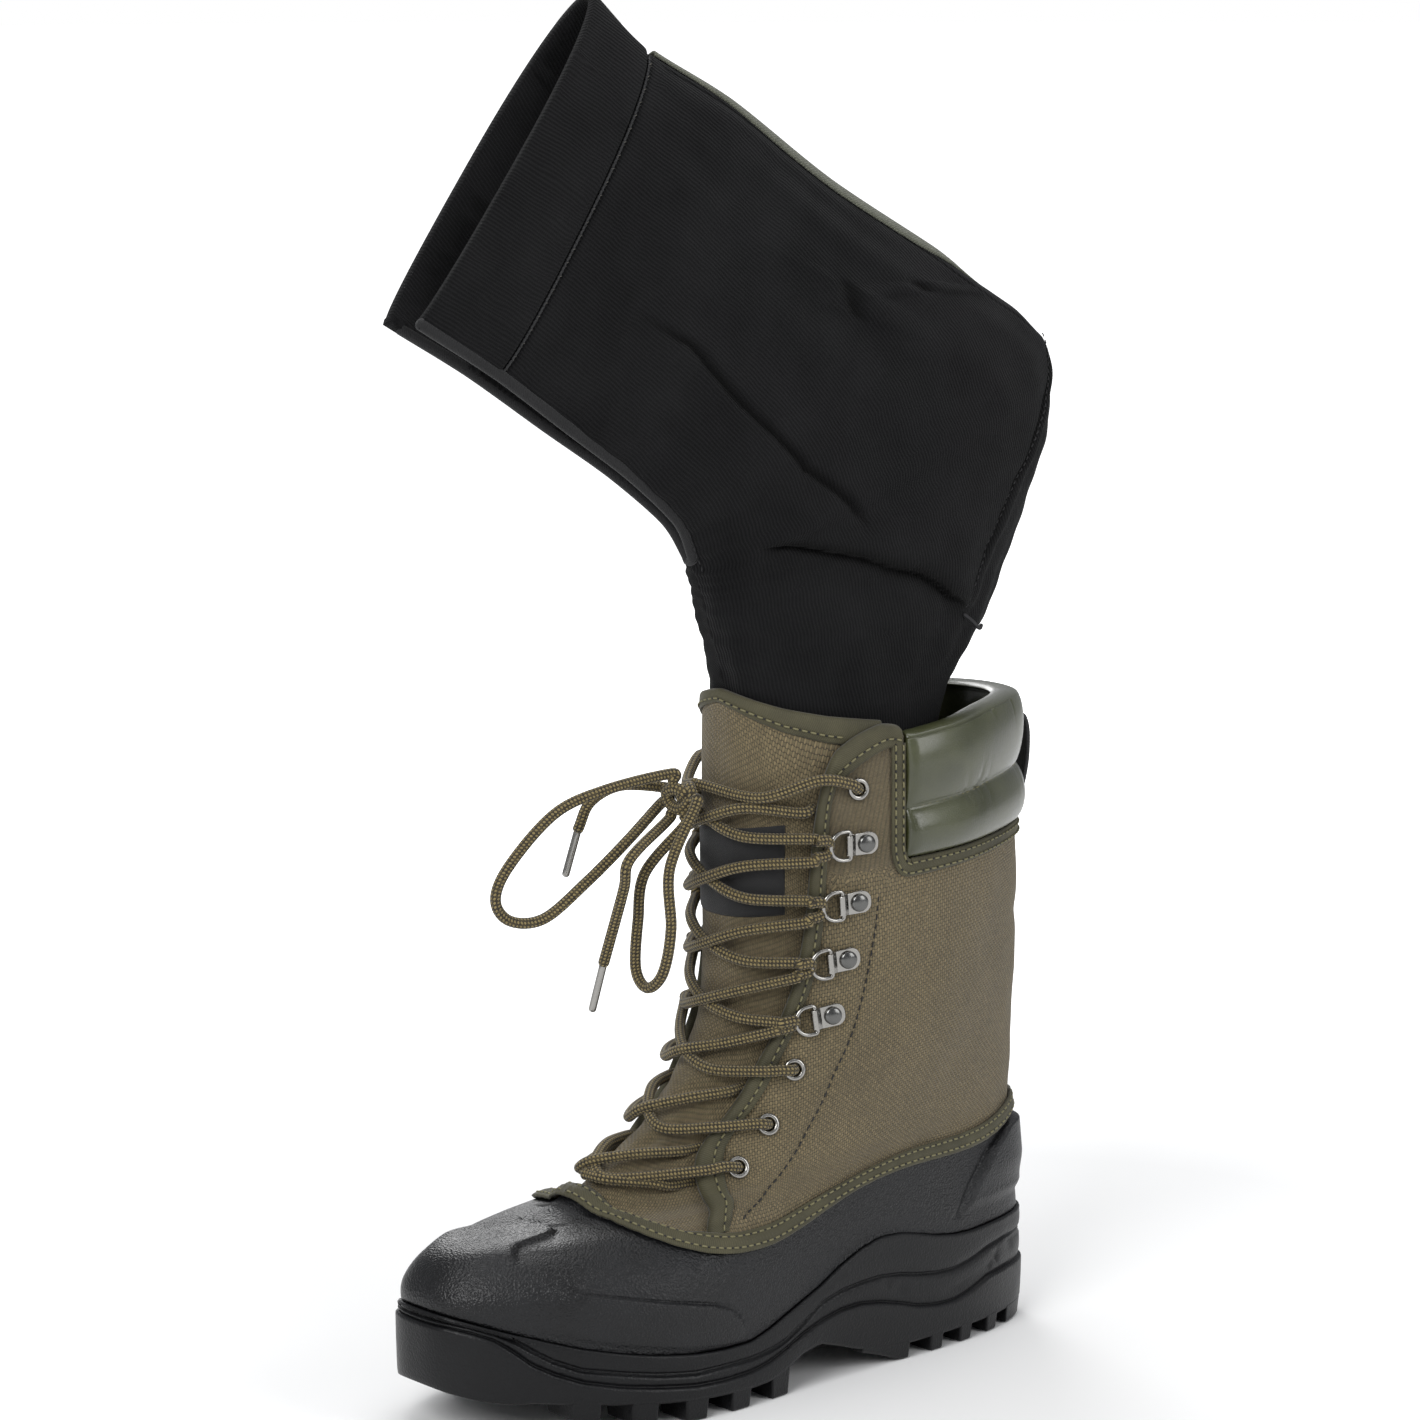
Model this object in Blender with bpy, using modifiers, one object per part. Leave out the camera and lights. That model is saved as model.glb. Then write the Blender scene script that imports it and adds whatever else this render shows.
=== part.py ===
"""Insulated lace-up winter boot for the left foot, with its removable bootie drawn half out.

Toe to -Y, heel to +Y, outer side to +X, floor at z = 0. The origin lies on the floor under the heel's middle.
The upper, its tapes, the collar and the fittings all lie on one skin, outer(u, v): u runs once round the foot
from the toe (0) by the outer side to the heel (0.5) and home, v counts the rows of the SECTIONS table.
"""
import math

import bmesh
import bpy
import numpy as np
from mathutils import Matrix

# Main sizes, in metres
LENGTH = 0.320
HEIGHT = 0.290
WIDTH = 0.114
SOLE_SIDE = 0.058
CLEARANCE = 0.0003
# Walls of the sheet goods
SHELL_WALL = 0.0030
CLOTH_WALL = 0.0026
TONGUE_WALL = 0.0024
TAPE_WALL = 0.0013
BOOTIE_WALL = 0.0040
INSOLE_WALL = 0.0045
# Sole
RAND_STEP = 0.0014
LEDGE = 0.0048
LUG_LONG = 0.0115
LUG_PITCH = 0.0242
HEEL_LUG = 0.0085
HEEL_PITCH = 0.0195
LUG_WIDE = 0.022
CENTRE_LUG = 0.027
# Relief moulded in the shell
KICK_DEPTH = 0.0045
LEAF_DEPTH = 0.0012
RIB_DEPTH = 0.0022
# Collar
ROLL_OUT = 0.0048
ROLL_IN = 0.0092
COLLAR_LOW = 10.74
# Fittings
EYELET_BORE = 0.0027
EYELET_WALL = 0.0006
EYELET_FLANGE = 0.0049
FLANGE_HIGH = 0.0011
CLIP_WIDE = 0.0096
CLIP_LONG = 0.0125
CLIP_SHEET = 0.0008
RING_WIRE = 0.0019
RING_WIDE = 0.0142
RING_LONG = 0.0112
RIVET_HEAD = 0.0088
RIVET_HIGH = 0.0020
LACE = 0.0048
KNOT_SIZE = 1.15
KNOT_U = -0.0125
TIP = 0.0034
PULL_WIDE = 0.0150
PULL_WALL = 0.0020

# front y, front z, back y, back z; half widths on the outer and inner side at 8, 30, 58 and 86 % of the
# way back; roundness of the ends; share of the toe's inward swing. y in LENGTH, z in HEIGHT, x in WIDTH.
SECTIONS = np.array([
    (-0.8250, 0.0759, 0.1281, 0.0759,  0.439, 0.487, 0.390, 0.368,  0.439, 0.500, 0.351, 0.368,  2.6, 1.0),
    (-0.8531, 0.1724, 0.1406, 0.1586,  0.447, 0.491, 0.386, 0.377,  0.456, 0.518, 0.351, 0.377,  2.6, 1.0),
    (-0.8469, 0.2172, 0.1375, 0.2345,  0.439, 0.465, 0.377, 0.364,  0.447, 0.491, 0.351, 0.364,  2.5, 1.0),
    (-0.8094, 0.2569, 0.1344, 0.2966,  0.351, 0.382, 0.360, 0.351,  0.351, 0.395, 0.346, 0.351,  2.4, 0.9),
    (-0.7313, 0.2707, 0.1344, 0.3448,  0.281, 0.342, 0.351, 0.338,  0.281, 0.355, 0.342, 0.338,  2.2, 0.7),
    (-0.6500, 0.2862, 0.1375, 0.3862,  0.246, 0.329, 0.351, 0.338,  0.246, 0.333, 0.342, 0.338,  2.1, 0.5),
    (-0.5750, 0.3397, 0.1406, 0.4414,  0.263, 0.333, 0.364, 0.338,  0.263, 0.338, 0.355, 0.338,  2.0, 0.4),
    (-0.4938, 0.4000, 0.1406, 0.5034,  0.298, 0.355, 0.377, 0.342,  0.298, 0.355, 0.368, 0.342,  2.0, 0.3),
    (-0.4375, 0.4690, 0.1391, 0.5655,  0.333, 0.373, 0.390, 0.346,  0.333, 0.373, 0.382, 0.346,  2.1, 0.2),
    (-0.4000, 0.5379, 0.1359, 0.6310,  0.360, 0.386, 0.399, 0.355,  0.360, 0.386, 0.395, 0.355,  2.2, 0.1),
    (-0.3906, 0.6379, 0.1297, 0.7069,  0.368, 0.395, 0.408, 0.364,  0.368, 0.395, 0.408, 0.364,  2.3, 0.0),
    (-0.3906, 0.8103, 0.1219, 0.8276,  0.377, 0.404, 0.421, 0.373,  0.377, 0.404, 0.421, 0.373,  2.3, 0.0),
    (-0.3875, 1.0000, 0.1125, 0.9828,  0.386, 0.404, 0.430, 0.386,  0.386, 0.404, 0.430, 0.386,  2.3, 0.0),
    (-0.3844, 1.0552, 0.1094, 1.0207,  0.386, 0.404, 0.430, 0.386,  0.386, 0.404, 0.430, 0.386,  2.3, 0.0),
])
STATIONS = (0.0, 0.08, 0.30, 0.58, 0.86, 1.0)
SWING = 0.088
SWING_FROM = 0.45

# Height of the sole's lines along its side. y in LENGTH; then in SOLE_SIDE: top of the rand, its groove,
# top of the outsole, tread base, lug bottoms, footbed.
SOLE_LINES = np.array([
    (-0.8625,  0.922, 0.871, 0.824, 0.379, 0.345, 0.586),
    (-0.8438,  0.888, 0.853, 0.813, 0.328, 0.310, 0.570),
    (-0.8250,  0.852, 0.831, 0.784, 0.296, 0.278, 0.554),
    (-0.8031,  0.811, 0.786, 0.732, 0.269, 0.244, 0.536),
    (-0.7812,  0.771, 0.731, 0.636, 0.252, 0.208, 0.517),
    (-0.7625,  0.739, 0.655, 0.543, 0.259, 0.179, 0.500),
    (-0.7375,  0.695, 0.569, 0.466, 0.244, 0.139, 0.477),
    (-0.7031,  0.637, 0.488, 0.388, 0.223, 0.097, 0.445),
    (-0.6531,  0.576, 0.438, 0.328, 0.193, 0.054, 0.409),
    (-0.6062,  0.533, 0.397, 0.293, 0.170, 0.019, 0.379),
    (-0.5500,  0.496, 0.364, 0.259, 0.150, 0.000, 0.363),
    (-0.5031,  0.483, 0.366, 0.252, 0.137, 0.000, 0.354),
    (-0.4531,  0.484, 0.366, 0.259, 0.130, 0.000, 0.362),
    (-0.4188,  0.534, 0.385, 0.288, 0.138, 0.000, 0.368),
    (-0.3875,  0.595, 0.417, 0.341, 0.179, 0.000, 0.386),
    (-0.3531,  0.662, 0.502, 0.412, 0.266, 0.000, 0.415),
    (-0.3156,  0.738, 0.612, 0.472, 0.299, 0.000, 0.446),
    (-0.2750,  0.853, 0.665, 0.514, 0.231, 0.000, 0.469),
    (-0.2375,  0.939, 0.686, 0.520, 0.164, 0.140, 0.490),
    (-0.2000,  0.994, 0.694, 0.491, 0.129, 0.076, 0.510),
    (-0.1625,  0.987, 0.672, 0.440, 0.112, 0.000, 0.521),
    (-0.1313,  0.952, 0.638, 0.388, 0.112, 0.000, 0.525),
    (-0.0938,  0.900, 0.608, 0.355, 0.112, 0.000, 0.530),
    (-0.0563,  0.864, 0.599, 0.350, 0.112, 0.000, 0.534),
    (-0.0187,  0.852, 0.631, 0.390, 0.112, 0.000, 0.534),
    (0.0187,  0.857, 0.681, 0.453, 0.112, 0.000, 0.534),
    (0.0625,  0.862, 0.707, 0.466, 0.112, 0.000, 0.534),
    (0.1094,  0.862, 0.697, 0.466, 0.120, 0.005, 0.534),
    (0.1562,  0.862, 0.690, 0.466, 0.138, 0.017, 0.534),
])
RAND_TOP, GROOVE, OUTSOLE_TOP, TREAD, LUG_FOOT, FOOTBED = range(1, 7)
# Lug under the ball, the sloped block at the heel's breast and the block at its end, in LENGTH
BALL_LUG = -0.3975
BREAST = (-0.2375, -0.145)
HEEL_END = (0.068, 0.118)

# Tape round the shell's mouth: u, its lower and upper edge in rows
SHELL_TAPE = np.array([
    (0.000, 5.20, 5.56), (0.040, 5.12, 5.50), (0.075, 4.82, 5.24), (0.107, 4.377, 4.80), (0.138, 3.62, 4.13),
    (0.160, 3.02, 3.56), (0.176, 2.592, 3.14), (0.194, 2.237, 2.74), (0.213, 2.035, 2.56), (0.228, 2.054, 2.57),
    (0.251, 2.203, 2.80), (0.268, 2.66, 3.42), (0.285, 3.05, 3.87), (0.304, 3.25, 4.03), (0.328, 3.211, 3.90),
    (0.348, 3.12, 3.78), (0.372, 3.096, 3.72), (0.395, 3.16, 3.78), (0.433, 3.45, 4.06), (0.465, 3.60, 4.20),
    (0.500, 3.65, 4.25),
])
# Tape down the open front edge: row, u of its inner and outer edge
THROAT_TAPE = np.array([
    (11.43, 0.1408, 0.1508), (11.22, 0.138, 0.1505), (10.31, 0.129, 0.1446), (9.79, 0.1222, 0.139),
    (9.30, 0.115, 0.132), (8.86, 0.1100, 0.128), (8.40, 0.1096, 0.1285), (7.92, 0.1112, 0.131),
    (7.25, 0.1155, 0.1355), (6.40, 0.1180, 0.1385), (5.75, 0.1345, 0.1520), (5.30, 0.148, 0.1640),
    (4.68, 0.166, 0.1790), (3.90, 0.1850, 0.1975), (3.20, 0.1945, 0.2060), (2.80, 0.1985, 0.2090),
])
CLOTH_ROWS = np.array([0.0, 0.09, 0.18, 0.27, 0.36, 0.46, 0.56, 0.66, 0.76, 0.88, 1.0])
EAR_ROWS = np.array([0.33, 0.66, 1.0])
EAR_CELLS = 3
EAR_EDGE = 0.2245
EAR_TOP = np.array([(0.1408, 11.44), (0.1567, 11.56), (0.1776, 11.70), (0.1995, 11.795), (0.2114, 11.85),
                    (0.2245, 11.76), (0.3, 11.76)])
TONGUE_TOP = np.array([(0.0, 12.30), (0.05, 12.16), (0.10, 12.02), (0.15, 11.92), (0.215, 11.84)])
BACK_EDGE = 10.68
# Rows and places round the leg of the four eyelets and the four ring clips on each side, from the top
EYELETS = {"1": (0.1787, 11.369), "6": (0.1508, 7.727), "7": (0.1637, 6.498), "8": (0.1681, 5.519)}
CLIPS = {"2": (0.1848, 10.936), "3": (0.1779, 10.413), "4": (0.1684, 9.797), "5": (0.1611, 8.854)}

# Bootie: front y, z and back y, z of each section from the cuff's rim down to the toe, and its half
# thickness. y in LENGTH, z in HEIGHT, x in WIDTH; the last row is the closed tip.
BOOTIE = np.array([
    (-0.8875, 1.583, -0.5844, 2.041, 0.140), (-0.7625, 1.510, -0.5000, 1.962, 0.154),
    (-0.6438, 1.428, -0.3594, 1.883, 0.170), (-0.5375, 1.355, -0.1875, 1.762, 0.193),
    (-0.4531, 1.283, 0.0312, 1.634, 0.232), (-0.4219, 1.228, 0.1950, 1.522, 0.265),
    (-0.4094, 1.193, 0.2000, 1.386, 0.289), (-0.3969, 1.155, 0.1438, 1.248, 0.302),
    (-0.3813, 1.097, 0.0781, 1.110, 0.312), (-0.3594, 1.014, 0.0060, 1.014, 0.318),
    (-0.3500, 0.924, -0.0250, 0.917, 0.310), (-0.3500, 0.810, -0.0625, 0.800, 0.290),
    (-0.3500, 0.690, -0.1188, 0.676, 0.262), (-0.3438, 0.600, -0.1719, 0.586, 0.220),
    (-0.3188, 0.540, -0.2188, 0.530, 0.150), (-0.2688, 0.510, -0.2688, 0.510, 0.000),
])
BOOTIE_LEAN = -0.0011
SLIT_ROWS = 5
SLIT_SHARE = 0.09
SLIT_SQUARE = 0.6
CUFF_SEAM = 1
FOOT_SEAM = 9
SEAM_PITCH = 0.0235
BOOTIE_COUNT = 18

NAME = "insulated_boot"
AROUND = 40


def clear_scene():
    """Empties the file and makes the two collections."""
    for item in list(bpy.data.objects):
        bpy.data.objects.remove(item, do_unlink=True)
    parts = bpy.data.collections.new(NAME)
    cutters = bpy.data.collections.new("cutters")
    bpy.context.scene.collection.children.link(parts)
    bpy.context.scene.collection.children.link(cutters)
    return parts, cutters


PARTS, CUTTERS = clear_scene()
MATERIALS = {}


def material(slot, rgb, rough, metal=0.0):
    """One Principled material a slot."""
    if slot not in MATERIALS:
        mat = bpy.data.materials.new(slot)
        mat.use_nodes = True
        node = mat.node_tree.nodes["Principled BSDF"]
        node.inputs["Base Color"].default_value = (*rgb, 1.0)
        node.inputs["Roughness"].default_value = rough
        node.inputs["Metallic"].default_value = metal
        MATERIALS[slot] = mat
    return MATERIALS[slot]


LOOKS = {
    "rubber_shell": ((0.034, 0.035, 0.038), 0.55, 0.0),
    "rubber_sole": ((0.026, 0.027, 0.029), 0.62, 0.0),
    "canvas": ((0.188, 0.150, 0.084), 0.85, 0.0),
    "tape": ((0.098, 0.107, 0.058), 0.75, 0.0),
    "collar_cover": ((0.061, 0.065, 0.034), 0.35, 0.0),
    "black_web": ((0.015, 0.015, 0.016), 0.80, 0.0),
    "bootie_knit": ((0.013, 0.013, 0.014), 0.90, 0.0),
    "insole_felt": ((0.060, 0.060, 0.062), 0.95, 0.0),
    "nickel": ((0.60, 0.58, 0.55), 0.28, 1.0),
    "lace_cord": ((0.140, 0.096, 0.036), 0.80, 0.0),
}


def smooth_rows(v):
    """Every column of SECTIONS at row v, by a smooth curve through the rows."""
    last = len(SECTIONS) - 1
    t = np.clip(np.asarray(v, float), 0, last)
    k = np.clip(np.floor(t).astype(int), 0, last - 1)
    f = (t - k)[..., None]
    a, b, c, d = [SECTIONS[np.clip(k + j, 0, last)] for j in (-1, 0, 1, 2)]
    return 0.5 * (2 * b + (c - a) * f + (2 * a - 5 * b + 4 * c - d) * f ** 2 + (3 * b - a - 3 * c + d) * f ** 3)


def half_width(w, s):
    """Half width along the chord: a smooth curve through the four values, flat at both ends."""
    y = [w[..., 0], w[..., 0], w[..., 1], w[..., 2], w[..., 3], w[..., 3]]
    slope = [0 * y[0]]
    for i in range(1, 5):
        slope.append((y[i + 1] - y[i - 1]) / (STATIONS[i + 1] - STATIONS[i - 1]))
    slope.append(0 * y[0])
    out = 0 * s
    for i in range(5):
        h = STATIONS[i + 1] - STATIONS[i]
        f = np.clip((s - STATIONS[i]) / h, 0, 1)
        here = (s >= STATIONS[i]) & ((s < STATIONS[i + 1]) | (i == 4))
        curve = (2 * f ** 3 - 3 * f ** 2 + 1) * y[i] + (f ** 3 - 2 * f ** 2 + f) * h * slope[i]
        curve = curve + (3 * f ** 2 - 2 * f ** 3) * y[i + 1] + (f ** 3 - f ** 2) * h * slope[i + 1]
        out = np.where(here, curve, out)
    return out


def outer(u, v):
    """The boot's skin: a rounded loop between the row's front and back points."""
    u, v = np.broadcast_arrays(np.asarray(u, float), np.asarray(v, float))
    r = smooth_rows(v)
    s = (1 - np.cos(2 * np.pi * u)) / 2
    side = np.where(np.sin(2 * np.pi * u) >= 0, 1.0, -1.0)
    half = np.where(side > 0, half_width(r[..., 4:8], s), half_width(r[..., 8:12], s)) * WIDTH
    ends = np.clip(1 - np.abs(2 * s - 1) ** r[..., 12], 0, 1) ** (1 / r[..., 12])
    x = side * half * ends - SWING * WIDTH * r[..., 13] * np.clip(1 - s / SWING_FROM, 0, 1) ** 2
    y = (r[..., 0] + (r[..., 2] - r[..., 0]) * s) * LENGTH
    z = (r[..., 1] + (r[..., 3] - r[..., 1]) * s) * HEIGHT
    return np.stack([x, y, z], -1)


def unit(a):
    return a / np.maximum(np.linalg.norm(a, axis=-1, keepdims=True), 1e-12)


def frame_at(u, v):
    """Point, direction round the leg, direction up and outward normal of the skin."""
    u, v = np.broadcast_arrays(np.asarray(u, float), np.asarray(v, float))
    step = 2e-3
    top = len(SECTIONS) - 1
    along = unit(outer(u + step, v) - outer(u - step, v))
    up = outer(u, np.clip(v + 0.05, 0, top)) - outer(u, np.clip(v - 0.05, 0, top))
    normal = unit(np.cross(along, up))
    return outer(u, v), along, np.cross(normal, along), normal


def skin(u, v, off=0.0):
    """Points at a distance off the skin, outward."""
    point, _, _, normal = frame_at(u, v)
    return point + normal * np.asarray(off)[..., None] if np.ndim(off) else point + normal * off


def column(table, key, k):
    """A table's column k at the value key of its first column."""
    order = np.argsort(table[:, 0])
    return np.interp(key, table[order, 0], table[order, k])


def sole_line(y, k):
    return column(SOLE_LINES, np.asarray(y) / LENGTH, k) * SOLE_SIDE


def lateral(u):
    """u folded to the outer side, because both sides share the tables."""
    u = np.mod(u, 1.0)
    return np.minimum(u, 1 - u)


def tape_row(u, share):
    low = column(SHELL_TAPE, lateral(u), 1)
    high = column(SHELL_TAPE, lateral(u), 2)
    return low + (high - low) * share


def throat(v, share):
    a = column(THROAT_TAPE, v, 1)
    b = column(THROAT_TAPE, v, 2)
    return a + (b - a) * share


def shell_foot(u):
    """Row where the skin meets the rand's top, by halving."""
    low = np.zeros_like(u)
    high = np.full_like(u, 2.4)
    for _ in range(30):
        mid = (low + high) / 2
        p = outer(u, mid)
        below = p[..., 2] < sole_line(p[..., 1], RAND_TOP) + CLEARANCE
        low = np.where(below, mid, low)
        high = np.where(below, high, mid)
    return (low + high) / 2


def bump(x, low, high, soft):
    """1 between low and high, easing to 0 over soft on both sides."""
    a = np.clip((x - low) / soft, 0, 1)
    b = np.clip((high - x) / soft, 0, 1)
    c = np.minimum(a, b)
    return c * c * (3 - 2 * c)


def shell_relief(u, v):
    """Moulded relief: kick flange at the heel, leaf on each side, tongue-shaped rib on the toe."""
    s = lateral(u)
    kick = KICK_DEPTH * bump(v, 1.45, 2.86, 0.34) * bump(s, 0.375 + 0.02 * (v - 1.5), 0.6, 0.028)
    leaf = LEAF_DEPTH * bump(s, 0.11, 0.205, 0.02) * bump(v, -1.0, 1.9 - 8.5 * (s - 0.12), 0.16)
    rib = RIB_DEPTH * bump(s, -1.0, 0.075, 0.028) * bump(v, 3.35, 9.0, 0.35)
    return kick + leaf + rib


def add_mesh(name, points, faces, slot, where=None, weld=0.0):
    """An object from points and faces, welded where its rows meet, faces turned outward."""
    mesh = bpy.data.meshes.new(name)
    mesh.from_pydata([tuple(p) for p in np.asarray(points).reshape(-1, 3)], [], faces)
    if weld:
        work = bmesh.new()
        work.from_mesh(mesh)
        bmesh.ops.remove_doubles(work, verts=work.verts, dist=weld)
        bmesh.ops.dissolve_degenerate(work, dist=1e-6, edges=work.edges)
        work.to_mesh(mesh)
        work.free()
    mesh.validate()
    item = bpy.data.objects.new(name, mesh)
    (where or PARTS).objects.link(item)
    if where is None:
        mesh.materials.append(material(slot, *LOOKS[slot]))
    else:
        item.hide_render = True
        item.display_type = "WIRE"
    return item


def grid_faces(n, m, wrap=False, keep=None, start=0):
    """Quads of a grid of n columns round and m rows up; keep(i, j) drops cells."""
    faces = []
    for i in range(n if wrap else n - 1):
        k = (i + 1) % n
        for j in range(m - 1):
            if keep is None or keep(i, j):
                faces.append((start + i * m + j, start + k * m + j, start + k * m + j + 1, start + i * m + j + 1))
    return faces


def sheet(name, points, wall, slot, wrap=False, keep=None, weld=0.0, extra=()):
    """An open surface made solid inward by Solidify."""
    n, m = points.shape[:2]
    item = add_mesh(name, points, grid_faces(n, m, wrap, keep) + list(extra), slot, weld=weld)
    work = bmesh.new()
    work.from_mesh(item.data)
    loose = [v for v in work.verts if not v.link_faces]
    bmesh.ops.delete(work, geom=loose, context="VERTS")
    work.to_mesh(item.data)
    work.free()
    thick = item.modifiers.new("wall", "SOLIDIFY")
    thick.thickness = wall
    thick.offset = -1.0
    thick.use_even_offset = False
    thick.use_rim = True
    return item


def outline_ring(count, off):
    """Plan outline of the sole, a loop of the skin moved outward by off."""
    u = np.arange(count) / count
    p = outer(u, 1.0)[:, :2]
    t = unit(np.roll(p, -1, 0) - np.roll(p, 1, 0))
    return p + np.stack([t[:, 1], -t[:, 0]], -1) * off


def boolean(item, cutter, operation):
    cut = item.modifiers.new(operation.lower(), "BOOLEAN")
    cut.operation = operation
    cut.solver = "EXACT"
    cut.object = cutter
    return cut


def outsole():
    """Sole unit: lugs, tread base, outsole edge, groove, rand and the footbed tray inside the rand."""
    count = AROUND
    rows = []
    step = SOLE_SIDE * 0.018
    plan = (
        (TREAD, 0.0, 0.9 * RAND_STEP), (OUTSOLE_TOP, -step, 1.7 * RAND_STEP), (OUTSOLE_TOP, 0.0, RAND_STEP),
        (GROOVE, -step, RAND_STEP), (GROOVE, 0.0, 0.5 * RAND_STEP), (GROOVE, step, 1.1 * RAND_STEP),
        (RAND_TOP, -0.5 * step, 1.1 * RAND_STEP), (RAND_TOP, 0.0, 0.8 * RAND_STEP), (RAND_TOP, -step, -LEDGE),
        (FOOTBED, 0.0, -LEDGE - CLEARANCE),
    )
    seat = outline_ring(count, 0.0)
    for line, lift, off in plan:
        ring = outline_ring(count, off)
        at = seat if line == RAND_TOP else ring
        rows.append(np.column_stack([ring, sole_line(at[:, 1], line) + lift]))
    points = np.stack(rows, 1)
    m = len(plan)
    faces = grid_faces(count, m, wrap=True)
    half = count // 2
    for i in range(half):
        a, b = i, i + 1
        c, d = (count - i - 1) % count, (count - i) % count
        low = [k * m for k in (a, d, c, b)]
        high = [k * m + m - 1 for k in (a, b, c, d)]
        faces.append(tuple(dict.fromkeys(low)))
        faces.append(tuple(dict.fromkeys(high)))
    body = add_mesh("outsole", points, faces, "rubber_sole")
    boolean(body, lugs(), "UNION")
    return body


def side_at(y, side, off):
    """x of the sole's outline on one side at y."""
    ring = outline_ring(240, off)
    pick = ring[:121] if side > 0 else np.concatenate([ring[120:], ring[:1]])
    order = np.argsort(pick[:, 1])
    return np.interp(y, pick[order, 1], pick[order, 0])


def lugs():
    """Tread lugs: pairs at the edges, blocks along the middle, a breast block and a heel end block."""
    blocks = []
    edge = 1.5 * RAND_STEP

    def block(y0, y1, xs):
        low, high = [], []
        for y, x in xs(y0, y1):
            low.append((x, y, sole_line(y, LUG_FOOT)))
            high.append((x, y, sole_line(y, TREAD) + 0.0025))
        blocks.append((low, high))

    def pair(y0, y1):
        for side in (1, -1):
            def corners(a, b, s=side):
                p, q = side_at(a, s, edge), side_at(b, s, edge)
                loop = [(a, p), (b, q), (b, q - s * LUG_WIDE), (a, p - s * LUG_WIDE)]
                return loop if s > 0 else loop[::-1]
            block(y0, y1, corners)

    def middle(y0, y1, wide, lean):
        def corners(a, b):
            c = (side_at((a + b) / 2, 1, 0) + side_at((a + b) / 2, -1, 0)) / 2
            return [(a, c - wide / 2), (a + lean, c), (a, c + wide / 2),
                    (b, c + wide / 2), (b + lean, c), (b, c - wide / 2)]
        block(y0, y1, corners)

    for k in range(5):
        mid = BALL_LUG * LENGTH - k * LUG_PITCH
        pair(mid - LUG_LONG / 2, mid + LUG_LONG / 2)
        if k < 4:
            mid = mid - 0.5 * LUG_PITCH
            middle(mid - LUG_LONG / 2, mid + LUG_LONG / 2, CENTRE_LUG, 0.25 * LUG_LONG)
    for k in range(3):
        mid = (k - 1.5) * HEEL_PITCH
        pair(mid - HEEL_LUG / 2, mid + HEEL_LUG / 2)
        if k < 2:
            mid = mid + 0.5 * HEEL_PITCH
            middle(mid - HEEL_LUG / 2, mid + HEEL_LUG / 2, CENTRE_LUG, 0.0)

    def across(a, b):
        p, q, r, t = side_at(a, 1, edge), side_at(b, 1, edge), side_at(b, -1, edge), side_at(a, -1, edge)
        return [(a, p), (b, q), (b, r), (a, t)]
    block(BREAST[0] * LENGTH, BREAST[1] * LENGTH, across)
    block(HEEL_END[0] * LENGTH, HEEL_END[1] * LENGTH, across)

    points, faces = [], []
    for low, high in blocks:
        n = len(low)
        base = len(points)
        points += low + high
        faces.append(tuple(base + k for k in reversed(range(n))))
        faces.append(tuple(base + n + k for k in range(n)))
        faces += [(base + k, base + (k + 1) % n, base + n + (k + 1) % n, base + n + k) for k in range(n)]
    item = add_mesh("lug_blocks", points, faces, "rubber_sole", where=CUTTERS)
    work = bmesh.new()
    work.from_mesh(item.data)
    bmesh.ops.recalc_face_normals(work, faces=work.faces)
    work.to_mesh(item.data)
    work.free()
    return item


def insole():
    """Felt insole lying in the tray."""
    count = 28
    rim = -LEDGE - SHELL_WALL * 0.4 - 3 * CLEARANCE
    ring = outline_ring(count, rim)
    low = np.column_stack([ring, sole_line(ring[:, 1], FOOTBED) + 2 * CLEARANCE])
    high = low + np.array([0, 0, INSOLE_WALL])
    points = np.stack([low, high], 1)
    faces = grid_faces(count, 2, wrap=True)
    for i in range(count // 2):
        a, b, c, d = i, i + 1, (count - i - 1) % count, (count - i) % count
        faces.append(tuple(dict.fromkeys(k * 2 for k in (a, d, c, b))))
        faces.append(tuple(dict.fromkeys(k * 2 + 1 for k in (a, b, c, d))))
    return add_mesh("insole", points, faces, "insole_felt")


def shell():
    """Rubber galosh: one moulded wall from the rand to under the tape, open below and above."""
    u = np.arange(AROUND) / AROUND
    t = np.array([0.0, 0.16, 0.32, 0.46, 0.60, 0.72, 0.83, 0.93, 1.0])
    foot = shell_foot(u)[:, None]
    mouth = tape_row(u, 0.45)[:, None]
    v = foot + (mouth - foot) * t[None]
    uu = np.repeat(u[:, None], len(t), 1)
    fade = bump(t, 0.0, 1.0, 0.1)[None]
    points = skin(uu, v, shell_relief(uu, v) * fade)
    seat = outline_ring(AROUND, 0.0)
    points[:, 0] = np.column_stack([seat, sole_line(seat[:, 1], RAND_TOP) + CLEARANCE])
    return sheet("shell", points, SHELL_WALL, "rubber_shell", wrap=True)


def columns():
    """Shares of the cloth's columns from the throat to the back: at its foot, where they follow the shell's
    own columns, and at the back edge, where one falls on the ear's edge."""
    foot = np.concatenate([[throat(2.95, 0.6)], np.arange(9, 21) / AROUND])
    low = (foot - foot[0]) / (0.5 - foot[0])
    start = throat(BACK_EDGE, 0.55)
    edge = (EAR_EDGE - start) / (0.5 - start)
    high = np.interp(low, [0, low[EAR_CELLS], 1], [0, edge, 1])
    return low, high


def cloth_rows():
    """Rows and throat places of the cloth's front edge up to the back edge."""
    foot = tape_row(throat(2.95, 0.6), 0.62)
    v = foot + (BACK_EDGE - foot) * CLOTH_ROWS
    return v, throat(v, 0.55)


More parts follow.
